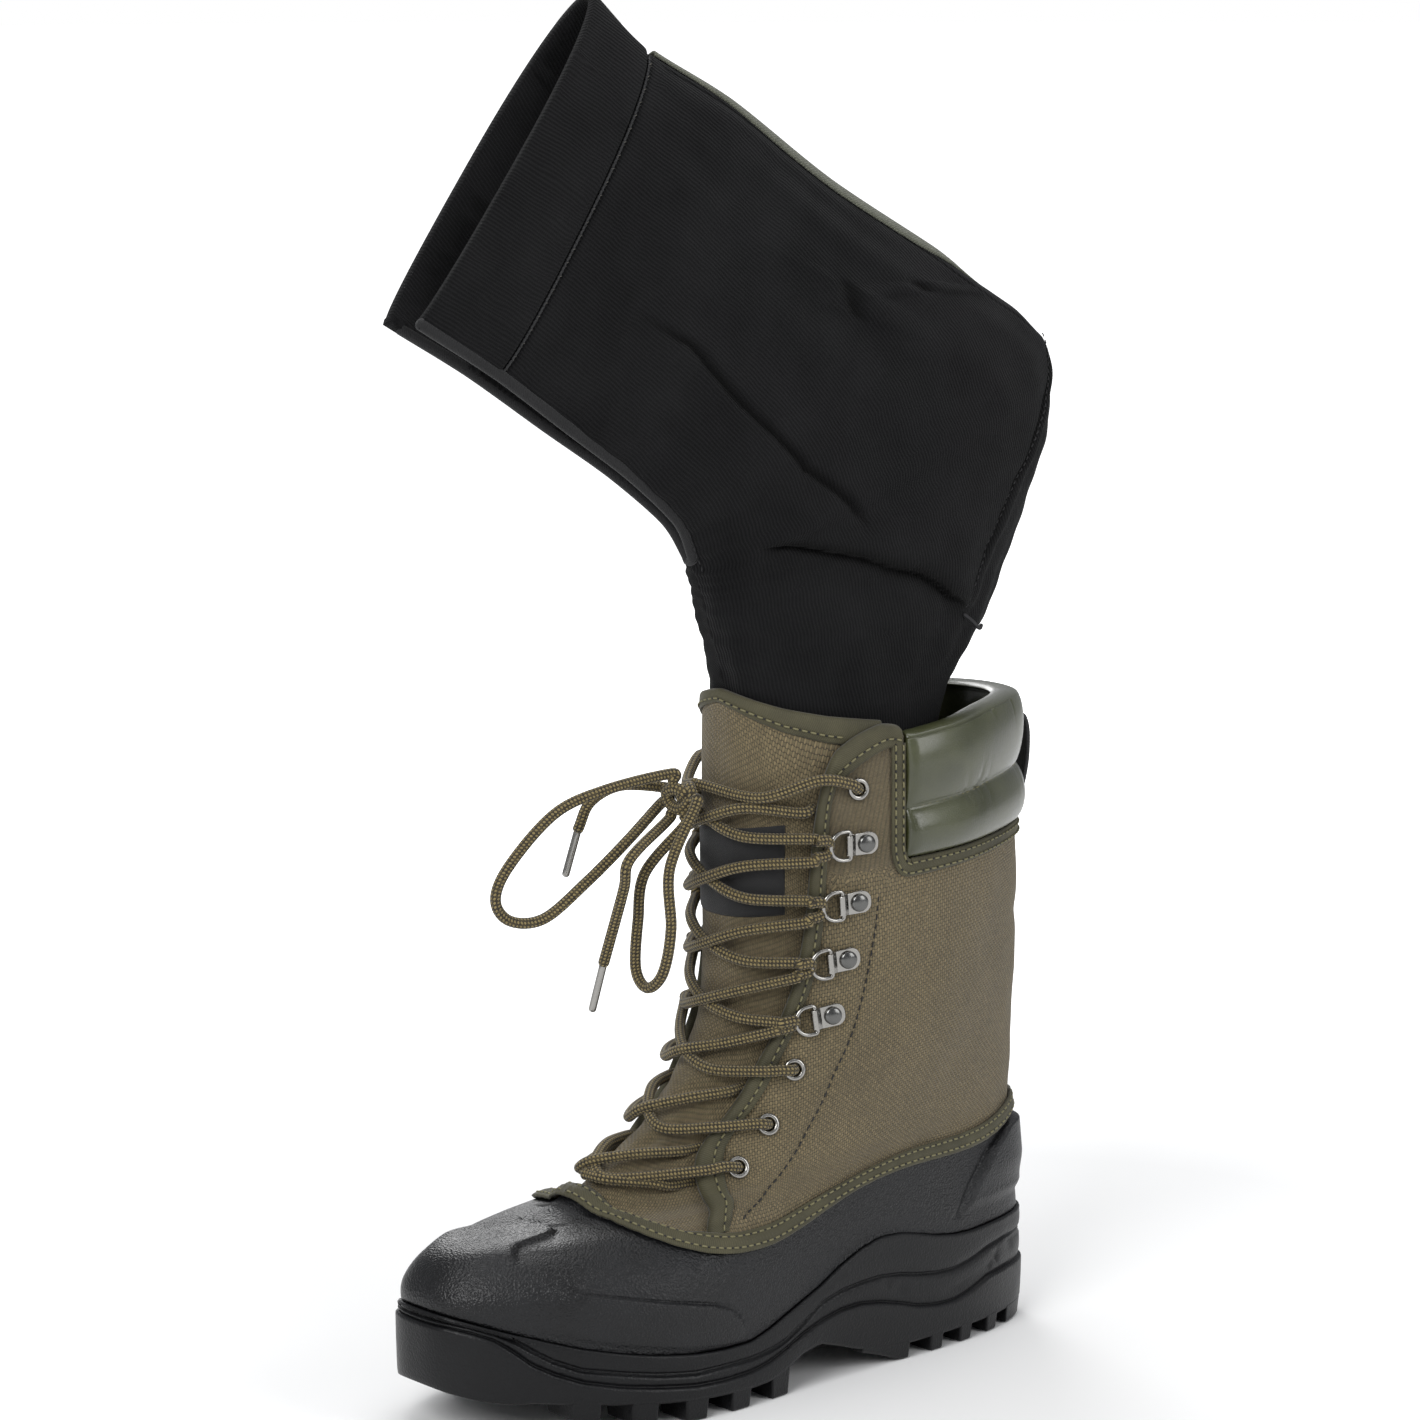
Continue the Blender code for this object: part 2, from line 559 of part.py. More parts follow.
def quarters():
    """Canvas shaft in one piece round the back, with the two eared fronts, open at the throat."""
    low, high = columns()
    first_v, first_u = cloth_rows()
    m = len(CLOTH_ROWS) + len(EAR_ROWS)
    half = np.zeros((len(low), m, 2))
    for i in range(len(low)):
        share = low[i] + (high[i] - low[i]) * CLOTH_ROWS
        uu = first_u + (0.5 - first_u) * share
        foot = tape_row(uu[0], 0.62)
        half[i, :len(first_v), 0] = uu
        half[i, :len(first_v), 1] = foot + (BACK_EDGE - foot) * CLOTH_ROWS
        lift = min(i / EAR_CELLS, 1.0)
        top_u = throat(11.44, 0.55) + (EAR_EDGE - throat(11.44, 0.55)) * lift
        top_v = column(EAR_TOP, top_u, 1)
        half[i, len(first_v):, 0] = uu[-1] + (top_u - uu[-1]) * EAR_ROWS
        half[i, len(first_v):, 1] = BACK_EDGE + (top_v - BACK_EDGE) * EAR_ROWS
    other = half[:-1][::-1].copy()
    other[..., 0] = 1 - other[..., 0]
    full = np.concatenate([half, other])
    n = len(full)

    def keep(i, j):
        return j < len(first_v) - 1 or i < EAR_CELLS or i >= n - 1 - EAR_CELLS
    points = skin(full[..., 0], full[..., 1])
    item = sheet("quarters", points, CLOTH_WALL, "canvas", keep=keep)
    boolean(item, eyelet_holes(), "DIFFERENCE")
    return item


def eyelet_holes():
    """Round cutters through the cloth, one at each eyelet."""
    points, faces = [], []
    radius = EYELET_BORE + EYELET_WALL + CLEARANCE
    sides = 10
    for name, (u0, v0) in EYELETS.items():
        for mirror in (False, True):
            p, a, b, n = frame_at(1 - u0 if mirror else u0, v0)
            base = len(points)
            for level in (-3 * CLOTH_WALL, 3 * CLOTH_WALL):
                for k in range(sides):
                    w = 2 * math.pi * (k + 0.5) / sides
                    points.append(tuple(p + radius * (a * math.cos(w) + b * math.sin(w)) + n * level))
            faces.append(tuple(base + k for k in reversed(range(sides))))
            faces.append(tuple(base + sides + k for k in range(sides)))
            faces += [(base + k, base + (k + 1) % sides, base + sides + (k + 1) % sides, base + sides + k)
                      for k in range(sides)]
    return add_mesh("eyelet_cutters", points, faces, "nickel", where=CUTTERS)


def tongue():
    """Vamp and gusseted tongue in one piece, tucked inside the shell's mouth and the quarters."""
    off = -(CLOTH_WALL + 4 * CLEARANCE)
    t = np.linspace(0, 1, 12)
    s = np.linspace(-1, 1, 15)
    s = np.sign(s) * np.abs(s) ** 0.9
    u = np.zeros((len(s), len(t)))
    v = np.zeros((len(s), len(t)))
    for i, share in enumerate(s):
        top = column(TONGUE_TOP, abs(share) * 0.215, 1)
        guess = abs(share) * 0.19
        for _ in range(12):
            low = tape_row(np.array(guess), 0.22)
            guess = abs(share) * tongue_edge(low)
        v[i] = low + (top - low) * t
        u[i] = np.mod(share * tongue_edge(v[i]), 1.0)
    tuck = -(SHELL_WALL + 7 * CLEARANCE)
    deep = np.where(v < tape_row(u, 0.9), tuck, off)
    return sheet("tongue", skin(u, v, deep), TONGUE_WALL, "canvas")


def tongue_edge(v):
    """Half span of the tongue and its gusset, under the quarters."""
    return np.minimum(throat(v, 0.5) + 0.030, 0.215) + 0.0 * v


def strip(name, lines, wall, slot, wrap=False):
    """A tape through lines of points, one line a row across its width."""
    return sheet(name, np.stack(lines, 1), wall, slot, wrap=wrap)


def shell_binding():
    """Tape stitched over the joint of shell and cloth."""
    u = np.arange(AROUND) / AROUND
    out = CLEARANCE + TAPE_WALL
    rib = RIB_DEPTH * bump(lateral(u), -1.0, 0.075, 0.028)
    inside = CLOTH_WALL
    front = bump(lateral(u), -1.0, 0.195, 0.02)
    lines = [skin(u, tape_row(u, 0.0), out + rib + CLEARANCE),
             skin(u, tape_row(u, 0.60), out + rib + CLEARANCE),
             skin(u, tape_row(u, 1.0), out + CLEARANCE - inside * front)]
    return strip("shell_binding", lines, TAPE_WALL, "tape", wrap=True)


def throat_binding(name, mirror):
    """Tape folded over the quarter's front edge, from the shell's tape to the ear."""
    rows, _ = cloth_rows()
    top = BACK_EDGE + (11.44 - BACK_EDGE) * EAR_ROWS
    v = np.concatenate([rows, top])
    out = 2 * CLEARANCE + TAPE_WALL
    a, b = throat(v, 0.0), throat(v, 1.0)
    low = np.zeros(len(v))
    top_u = np.array([0.1567, 0.1776, 0.1995, 0.2114, 0.2235])
    top_v = column(EAR_TOP, top_u, 1)
    a = np.concatenate([a, top_u - 0.003])
    va = np.concatenate([v, top_v + 0.05])
    b = np.concatenate([b, top_u + 0.002])
    vb = np.concatenate([v, top_v - 0.12])
    low = np.concatenate([low, np.zeros(5)])
    pair = [(b, vb), (a, va)]
    if mirror:
        pair = [(1 - a, va), (1 - b, vb)]
    lines = [skin(p, q, out + low) for p, q in pair]
    for line in lines:
        line[0] = 0.45 * line[0] + 0.55 * line[1]
    return strip(name, lines, TAPE_WALL, "tape")


def tongue_binding():
    """Tape along the tongue's top edge."""
    s = np.linspace(-1, 1, 13) * 0.165
    v = column(TONGUE_TOP, np.abs(s), 1)
    out = CLEARANCE + TAPE_WALL - (CLOTH_WALL + 2 * CLEARANCE)
    u = np.mod(s, 1.0)
    lines = [skin(u, v - 0.16, out), skin(u, v + 0.02, out)]
    return strip("tongue_binding", lines, TAPE_WALL, "tape")


def collar_path():
    """Places round the leg from the outer ear by the back to the inner ear, and the collar's top row there."""
    u = np.linspace(EAR_EDGE + 0.003, 1 - EAR_EDGE - 0.003, 21)
    top = np.interp(lateral(u), [0.2254, 0.29, 0.33, 0.40, 0.5], [11.74, 11.84, 11.94, 12.02, 12.04])
    return u, top


def collar():
    """Padded collar of two quilted rolls, turned over the top edge and down the inside."""
    u, top = collar_path()
    profile = (
        (0.00, 0.0006), (0.05, 0.55 * ROLL_OUT), (0.18, 0.95 * ROLL_OUT), (0.34, 0.85 * ROLL_OUT),
        (0.44, 0.30 * ROLL_OUT), (0.54, 0.85 * ROLL_OUT), (0.72, ROLL_OUT), (0.90, 0.55 * ROLL_OUT),
        (1.00, -0.35 * ROLL_IN), (0.90, -0.85 * ROLL_IN), (0.55, -ROLL_IN), (0.15, -0.95 * ROLL_IN),
        (0.00, -0.60 * ROLL_IN),
    )
    rows = [skin(u, COLLAR_LOW + (top - COLLAR_LOW) * h, d) for h, d in profile]
    points = np.stack(rows, 1)
    n, m = points.shape[:2]
    faces = []
    for i in range(n - 1):
        for j in range(m):
            k = (j + 1) % m
            faces.append((i * m + j, (i + 1) * m + j, (i + 1) * m + k, i * m + k))
    faces.append(tuple(range(m)))
    faces.append(tuple((n - 1) * m + j for j in reversed(range(m))))
    return add_mesh("collar", points, faces, "collar_cover")


def collar_trim():
    """Tape edging the canvas round the collar: down each front edge and along the bottom."""
    out = CLEARANCE + TAPE_WALL
    down = np.array([11.66, 11.4, 11.1, 10.86])
    _, high = columns()
    start = throat(BACK_EDGE, 0.55)
    low_u = start + (0.5 - start) * high[EAR_CELLS:]
    a_u = np.concatenate([np.full(4, 0.2108), [0.2165], low_u[1:]])
    a_v = np.concatenate([down, [10.66], np.full(len(low_u) - 1, 10.545)])
    b_u = np.concatenate([np.full(4, EAR_EDGE - 0.0012), [EAR_EDGE], low_u[1:]])
    b_v = np.concatenate([down, [10.72], np.full(len(low_u) - 1, 10.70)])
    a = np.stack([np.concatenate([a_u, 1 - a_u[:-1][::-1]]), np.concatenate([a_v, a_v[:-1][::-1]])])
    b = np.stack([np.concatenate([b_u, 1 - b_u[:-1][::-1]]), np.concatenate([b_v, b_v[:-1][::-1]])])
    return strip("collar_trim", [skin(a[0], a[1], out), skin(b[0], b[1], out)], TAPE_WALL, "tape")


def pull_loop():
    """Webbing loop at the back of the collar."""
    p, a, b, n = frame_at(0.5, 11.30)
    ends = np.array([0.0, 1.0, 0.0])
    out = ROLL_OUT + CLEARANCE
    foot = outer(0.5, 10.6)[1] - p[1] + 2 * CLEARANCE + TAPE_WALL
    head = outer(0.5, 11.7)[1] - p[1] + out
    path = np.array([(-0.030, foot), (-0.020, out + 0.0035), (-0.006, out + 0.0075), (0.006, out + 0.0085),
                     (0.014, out + 0.0075), (0.0185, out + 0.0045), (0.0185, head)])
    points = []
    for high, deep in path:
        for side in (-0.5, 0.5):
            points.append(p + ends * (deep + PULL_WALL) + np.array([side * PULL_WIDE, 0, high]))
    points = np.array(points).reshape(len(path), 2, 3).transpose(1, 0, 2)
    return sheet("pull_loop", points[::-1], PULL_WALL, "black_web")


def bootie_row(k):
    """Loop of the bootie's outside at row k, or between two rows: a flattened ring, open at the front above the
    slit's end, where its sides run nearly parallel."""
    fy, fz, by, bz, b = [float(np.interp(k, range(len(BOOTIE)), BOOTIE[:, c])) for c in range(5)]
    front = np.array([0, fy * LENGTH + BOOTIE_LEAN, fz * HEIGHT])
    back = np.array([0, by * LENGTH + BOOTIE_LEAN, bz * HEIGHT])
    mid, reach = (front + back) / 2, (back - front) / 2
    spread = max(0.0, 1 - k / SLIT_ROWS)
    gap = SLIT_SHARE * spread
    th = 2 * np.pi * (gap / 2 + (1 - gap) * np.arange(BOOTIE_COUNT + 1) / BOOTIE_COUNT)
    c, s = np.cos(th), np.sin(th)
    power = np.where(c > 0, 0.9 - SLIT_SQUARE * spread, 0.9)
    row = mid - reach * (np.sign(c) * np.abs(c) ** 0.9)[:, None]
    row[:, 0] = b * WIDTH * np.sign(s) * np.abs(s) ** power
    return row


def bootie_panel(name, first, last, closed=False):
    """A panel between two rows; the foot's last row is drawn together to its tip."""
    inner = [k for k in range(len(BOOTIE) - 1) if first + 0.1 < k < last - 0.1]
    keys = [first] + inner + ([] if closed else [last])
    points = np.stack([bootie_row(k) for k in keys[::-1]], 1)
    n, m = points.shape[:2]
    flat, faces = points.reshape(-1, 3), grid_faces(n, m)
    if closed:
        tip = np.array([0, BOOTIE[-1, 0] * LENGTH + BOOTIE_LEAN, BOOTIE[-1, 1] * HEIGHT])
        flat = np.vstack([flat, tip])
        faces += [(n * m, ((i + 1) % n) * m, i * m) for i in range(n - 1)]
    item = add_mesh(name, flat, faces, "bootie_knit", weld=1e-5)
    fix_normals(item)
    thick = item.modifiers.new("wall", "SOLIDIFY")
    thick.thickness = BOOTIE_WALL
    thick.offset = -1.0
    thick.use_rim = True
    return item


def bootie():
    """Removable quilted bootie, sewn of three panels: the hemmed cuff, the leg with its front slit, and the
    closed foot. The seams are clearances between them."""
    gap = 0.5 * CLEARANCE / SEAM_PITCH
    bootie_panel("bootie_cuff", 0, CUFF_SEAM - gap)
    bootie_panel("bootie_leg", CUFF_SEAM + gap, FOOT_SEAM - gap)
    bootie_panel("bootie_foot", FOOT_SEAM + gap, len(BOOTIE) - 1, closed=True)


def place(item, p, a, b, n):
    """Sets an object in the skin's frame: x round the leg, y up it, z outward."""
    m = Matrix.Identity(4)
    for k in range(3):
        m[k][0], m[k][1], m[k][2], m[k][3] = float(a[k]), float(b[k]), float(n[k]), float(p[k])
    item.data.transform(m)
    return item


def eyelet(name, u, v):
    """Turned eyelet: flange on the cloth and barrel through its hole."""
    bore, wall = EYELET_BORE, EYELET_WALL
    seat = 2 * CLEARANCE
    profile = [(bore, -0.8 * CLOTH_WALL), (bore + wall, -0.8 * CLOTH_WALL),
               (bore + wall, seat), (EYELET_FLANGE, seat),
               (0.5 * (EYELET_FLANGE + bore), seat + FLANGE_HIGH), (bore, seat + 0.6 * FLANGE_HIGH)]
    steps = 10
    m = len(profile)
    points = []
    for i in range(steps):
        w = 2 * math.pi * (i + 0.5) / steps
        points += [(r * math.cos(w), r * math.sin(w), h) for r, h in profile]
    faces = []
    for i in range(steps):
        k = (i + 1) % steps
        for j in range(m):
            q = (j + 1) % m
            faces.append((i * m + j, k * m + j, k * m + q, i * m + q))
    return place(add_mesh(name, points, faces, "nickel"), *frame_at(u, v))


def clip_set(number, u, v, mirror, side_name):
    """Riveted clip of folded sheet, the D ring in its fold and the rivet's head."""
    p, a, b, n = frame_at(1 - u if mirror else u, v)
    toward = a if mirror else -a
    bar = CLIP_LONG * 0.62
    high = CLEARANCE + CLIP_SHEET + RING_WIRE / 2 + CLEARANCE
    roll = RING_WIRE / 2 + CLEARANCE
    lift = CLEARANCE + 2 * CLIP_SHEET + CLEARANCE
    outside, inside = [], []
    tail = CLIP_LONG * 0.46
    outside.append((-tail, CLEARANCE))
    inside.append((-tail, CLEARANCE + CLIP_SHEET))
    for w in (-90, -45, 0, 45, 90):
        c, s = math.cos(math.radians(w)), math.sin(math.radians(w))
        outside.append((bar + (roll + CLIP_SHEET) * c, high + (roll + CLIP_SHEET) * s))
        inside.append((bar + roll * c, high + roll * s))
    outside.append((bar - 2.0 * roll, lift + 0.3 * CLIP_SHEET))
    inside.append((bar - 2.0 * roll, lift - CLIP_SHEET + 0.3 * CLIP_SHEET))
    outside.append((-tail, lift))
    inside.append((-tail, lift - CLIP_SHEET))
    loop = outside + inside[::-1]
    m = len(loop)
    points = []
    for y in (-CLIP_WIDE / 2, CLIP_WIDE / 2):
        points += [(x, y, z) for x, z in loop]
    k = len(outside)
    faces = [(j, (j + 1) % m, m + (j + 1) % m, m + j) for j in range(m)]
    for j in range(k - 1):
        quad = (j, j + 1, m - 2 - j, m - 1 - j)
        faces.append(quad[::-1])
        faces.append(tuple(m + q for q in quad))
    clip = add_mesh("clip_%s_%s" % (number, side_name), points, faces, "nickel")
    up = np.cross(n, toward)
    place(clip, p, toward, up, n)
    fix_normals(clip)
    ring_points = []
    half = (RING_WIDE - RING_WIRE) / 2
    reach = RING_LONG - RING_WIRE
    for x, y in ((0.0, half), (0.0, -half), (0.30, -half), (0.68, -0.84 * half), (0.94, -0.42 * half),
                 (1.0, 0.0), (0.94, 0.42 * half), (0.68, 0.84 * half), (0.30, half)):
        ring_points.append(np.array([bar + x * reach, y, high]))
    ring = tube("ring_%s_%s" % (number, side_name), np.array(ring_points), RING_WIRE / 2, "nickel", 5, closed=True,
                up=(0, 0, 1))
    place(ring, p, toward, up, n)
    fix_normals(ring)
    head = []
    sides = 10
    base = lift + CLEARANCE
    faces = []
    for r, h in ((RIVET_HEAD / 2, 0.0), (RIVET_HEAD / 2, 0.3 * RIVET_HIGH), (RIVET_HEAD * 0.26, RIVET_HIGH)):
        head += [(r * math.cos(2 * math.pi * q / sides), r * math.sin(2 * math.pi * q / sides), base + h)
                 for q in range(sides)]
    for j in range(2):
        faces += [(j * sides + q, j * sides + (q + 1) % sides, (j + 1) * sides + (q + 1) % sides,
                   (j + 1) * sides + q) for q in range(sides)]
    faces.append(tuple(reversed(range(sides))))
    faces.append(tuple(2 * sides + q for q in range(sides)))
    rivet = add_mesh("rivet_%s_%s" % (number, side_name), head, faces, "nickel")
    place(rivet, p, toward, up, n)
    fix_normals(rivet)


def fix_normals(item):
    work = bmesh.new()
    work.from_mesh(item.data)
    bmesh.ops.recalc_face_normals(work, faces=work.faces)
    work.to_mesh(item.data)
    work.free()


def tube_mesh(path, radius, sides, closed=False, up=None):
    """Points and faces of a round bar along a path, mitred at its corners."""
    path = np.asarray(path, float)
    n = len(path)
    tangent = np.zeros_like(path)
    for i in range(n):
        a = path[(i - 1) % n] if closed or i > 0 else path[i]
        b = path[(i + 1) % n] if closed or i < n - 1 else path[i]
        tangent[i] = unit(b - a)
    ref = np.array(up if up is not None else (0.0, 0.0, 1.0), float)
    side = unit(np.cross(tangent[0], ref))
    points = []
    for i in range(n):
        if up is not None:
            side = unit(np.cross(tangent[i], ref))
        else:
            side = unit(side - tangent[i] * np.dot(side, tangent[i]))
        top = np.cross(side, tangent[i])
        for k in range(sides):
            w = 2 * math.pi * (k + 0.5) / sides
            points.append(path[i] + radius * (side * math.cos(w) + top * math.sin(w)))
    faces = []
    for i in range(n if closed else n - 1):
        j = (i + 1) % n
        for k in range(sides):
            q = (k + 1) % sides
            faces.append((i * sides + k, i * sides + q, j * sides + q, j * sides + k))
    if not closed:
        faces.append(tuple(reversed(range(sides))))
        faces.append(tuple((n - 1) * sides + k for k in range(sides)))
    return points, faces


def tube(name, path, radius, slot, sides, closed=False, up=None, where=None):
    points, faces = tube_mesh(path, radius, sides, closed, up)
    item = add_mesh(name, points, faces, slot, where=where)
    fix_normals(item)
    return item


def lace_run(first_side, over_even):
    """Path of one lace end through the rows of fittings, from the top row to the lowest."""
    rows = dict(EYELETS)
    rows.update(CLIPS)
    order = [rows[str(k)] for k in range(1, 9)]
    on_eyelet = CLEARANCE + FLANGE_HIGH + LACE / 2 + 4 * CLEARANCE
    on_ring = 2 * CLEARANCE + CLIP_SHEET + RING_WIRE + LACE / 2 + 6 * CLEARANCE
    low = LACE / 2 - CLOTH_WALL + 5 * CLEARANCE
    path = []
    side = first_side
    for k, (u0, v0) in enumerate(order):
        ring = str(k + 1) in CLIPS
        high = on_ring if ring else on_eyelet
        reach = u0 - (0.036 if ring else 0.004)
        high_edge = max(high, CLEARANCE * 2 + TAPE_WALL + LACE / 2 + 5 * CLEARANCE)
        spread = 0.13 if k < 5 else 0.20
        lip = min(throat(v0, 0.0) - 0.006, reach - 0.008)
        if k == 0:
            path += [(side * 0.022 + KNOT_U, v0 - 0.02, low + 0.25 * LACE),
                     (side * 0.062, v0 - 0.01, low + 0.25 * LACE), (side * lip, v0, high_edge)]
        else:
            path += [(side * lip, v0 + spread, high_edge)]
        path.append((side * reach, v0 + 0.4 * spread, high))
        if k < 7:
            path.append((side * reach, v0 - 0.4 * spread, high))
            path.append((side * lip, v0 - spread, high_edge))
            v1 = order[k + 1][1]
            mid = (v0 + v1) / 2
            over = (k % 2 == 0) == over_even
            gap = 0.62 * LACE if over else 0.0
            path.append((side * 0.055, mid + 0.25 * (v0 - v1), low + 0.3 * gap))
            path.append((0.0, mid, low + gap))
            path.append((-side * 0.055, mid - 0.25 * (v0 - v1), low + 0.3 * gap))
        side = -side
    points = [skin(np.mod(a, 1.0), b, c) for a, b, c in path]
    return np.array(points), -side, order[-1]


def laces():
    """Crossing laces as one joined solid that lies clear on the tongue, the tapes and the fittings."""
    a, a_side, low_row = lace_run(1, True)
    b, b_side, _ = lace_run(-1, False)
    on_eyelet = CLEARANCE + FLANGE_HIGH + LACE / 2 + 4 * CLEARANCE
    low = LACE / 2 - CLOTH_WALL + 5 * CLEARANCE
    u0, v0 = low_row
    tail = []
    bar = ((0.97, 0.06, on_eyelet + 0.0006), (0.74, 0.10, on_eyelet + 0.0006), (0.35, 0.30, low + 0.0006))
    for share, rise, off in bar:
        tail.append(skin(np.mod(a_side * u0 * share, 1.0), v0 + rise, off))
    for share, off in ((0.0, low), (-0.30, low + 0.2 * LACE)):
        tail.append(skin(np.mod(a_side * u0 * share, 1.0), v0 + 0.32, off))
    far = [skin(np.mod(-a_side * u0 * share, 1.0), v0 + rise, off) for share, rise, off in bar]
    first = tube("lace_crossings", np.vstack([a, tail]), LACE / 2, "lace_cord", 5)
    second = tube("lace_second", np.vstack([b, far]), LACE / 2, "lace_cord", 5, where=CUTTERS)
    boolean(first, second, "UNION")
    return first


def leave(point, path, gap):
    """Two points straight out from the path's nearest place toward the point, the first at the gap."""
    ends = zip(path[:-1], path[1:])
    near = [a + (b - a) * np.clip(np.dot(point - a, b - a) / np.dot(b - a, b - a), 0, 1) for a, b in ends]
    near = min(near, key=lambda q: np.linalg.norm(point - q))
    way = unit(point - near)
    return [near + way * gap, near + way * (gap + 0.7 * LACE)]


def cord(name, points, diameter, slot="lace_cord"):
    """A free cord: a polyline with a round bevel."""
    curve = bpy.data.curves.new(name, "CURVE")
    curve.dimensions = "3D"
    line = curve.splines.new("POLY")
    line.points.add(len(points) - 1)
    for k, p in enumerate(points):
        line.points[k].co = (*[float(c) for c in p], 1.0)
    curve.bevel_depth = diameter / 2
    curve.bevel_resolution = 2
    curve.use_fill_caps = True
    item = bpy.data.objects.new(name, curve)
    curve.materials.append(material(slot, *LOOKS[slot]))
    PARTS.objects.link(item)
    return item


def bow():
    """Knot, two loops and two tipped ends, hanging clear in front of the tongue."""
    p, a, b, n = frame_at(1 + KNOT_U, 11.30)
    centre = p + n * (2.6 * LACE)
    touch = 0.5 * KNOT_SIZE * LACE + 2 * CLEARANCE

    def world(rows):
        return [centre + np.array(r) * LENGTH for r in rows]

    def beside(rows):
        return [p + (a * x + b * y + n * z) * LACE for x, y, z in rows]
    coil = ((-1.35, 0.35, 0.42), (0.2, 0.9, 1.6), (1.2, 0.2, 2.0), (0.6, -0.9, 2.5), (-0.7, -0.8, 2.8), (-1.3, 0.2, 3.0),
            (-0.3, 0.8, 2.8))
    knot = beside(coil)
    cord("lace_knot", knot, LACE * KNOT_SIZE)
    left = world([(-0.030, -0.100, 0.018), (-0.055, -0.165, -0.010), (-0.075, -0.225, -0.075),
                  (-0.080, -0.245, -0.120), (-0.075, -0.225, -0.150), (-0.060, -0.180, -0.150),
                  (-0.040, -0.125, -0.105), (-0.020, -0.075, -0.055)])
    right = world([(0.036, -0.044, -0.085), (0.046, -0.050, -0.165), (0.036, -0.056, -0.225),
                   (0.010, -0.062, -0.248), (-0.012, -0.064, -0.225), (-0.012, -0.060, -0.160),
                   (-0.004, -0.054, -0.095)])
    places = {"left": ((-0.6, 1.9, 3.0), (-2.3, -1.0, 3.3)), "right": ((2.4, -0.2, 2.3), (1.2, -2.2, 2.6))}
    for name, loop in (("left", left), ("right", right)):
        first, last = beside(places[name])
        cord("lace_loop_" + name, leave(first, knot, touch) + loop + leave(last, knot, touch)[::-1], LACE)
    ends = {
        "left": ((-2.6, 0.6, 2.6), [(-0.062, -0.050, 0.014), (-0.088, -0.080, -0.008),
                                     (-0.098, -0.094, -0.045)], (-0.108, -0.108, -0.108)),
        "right": ((-0.4, -2.2, 3.6), [(0.012, -0.092, -0.070), (0.004, -0.096, -0.110),
                   (-0.020, -0.100, -0.180), (-0.030, -0.104, -0.215)], (-0.048, -0.110, -0.282)),
    }
    for name, (first, rows, tip) in ends.items():
        path = leave(beside([first])[0], knot, touch) + world(rows)
        cord("lace_end_" + name, path, LACE)
        stop = world([tip])[0]
        cord("lace_tip_" + name, [path[-1] + unit(stop - path[-1]) * 1.5 * CLEARANCE, stop], TIP, "nickel")


outsole()
insole()
shell()
quarters()
tongue()
shell_binding()
throat_binding("throat_binding_left", False)
throat_binding("throat_binding_right", True)
tongue_binding()
collar()
collar_trim()
pull_loop()
bootie()
for key, (place_u, place_v) in EYELETS.items():
    eyelet("eyelet_%s_outer" % key, place_u, place_v)
    eyelet("eyelet_%s_inner" % key, 1 - place_u, place_v)
for key, (place_u, place_v) in CLIPS.items():
    clip_set(key, place_u, place_v, False, "outer")
    clip_set(key, place_u, place_v, True, "inner")
laces()
bow()
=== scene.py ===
"""The looks of an insulated lace-up winter boot for the left foot, its knit bootie drawn half out.

The file follows the boot as it is built on its last: sole, insole, rubber shell, canvas, tapes, collar, pull loop,
metal fittings, laces, bootie, and last the stage. Metres, toe to -Y, outer side +X, floor at z = 0.
"""
import math

import bmesh
import bpy
import numpy as np
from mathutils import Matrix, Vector


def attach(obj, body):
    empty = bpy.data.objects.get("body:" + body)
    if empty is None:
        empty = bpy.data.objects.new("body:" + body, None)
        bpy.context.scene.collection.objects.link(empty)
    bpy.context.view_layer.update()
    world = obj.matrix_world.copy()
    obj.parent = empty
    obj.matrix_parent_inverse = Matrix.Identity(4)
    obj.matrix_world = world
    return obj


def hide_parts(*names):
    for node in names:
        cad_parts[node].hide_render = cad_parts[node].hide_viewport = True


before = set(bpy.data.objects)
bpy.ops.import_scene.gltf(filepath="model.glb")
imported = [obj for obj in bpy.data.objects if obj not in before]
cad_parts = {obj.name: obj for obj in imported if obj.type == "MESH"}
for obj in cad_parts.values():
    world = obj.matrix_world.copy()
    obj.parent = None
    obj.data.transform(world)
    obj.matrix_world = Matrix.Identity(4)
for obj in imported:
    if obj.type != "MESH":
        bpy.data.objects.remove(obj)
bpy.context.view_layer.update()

# The last
# Every piece of the upper lies on one skin, the outside of the lasted boot: a rounded loop round the foot at
# each row of a short table, carried up from the welt (row 0) to the collar (row 13).
LENGTH = 0.320
HEIGHT = 0.290
WIDTH = 0.114
SOLE_SIDE = 0.058
CLEAR = 0.0003
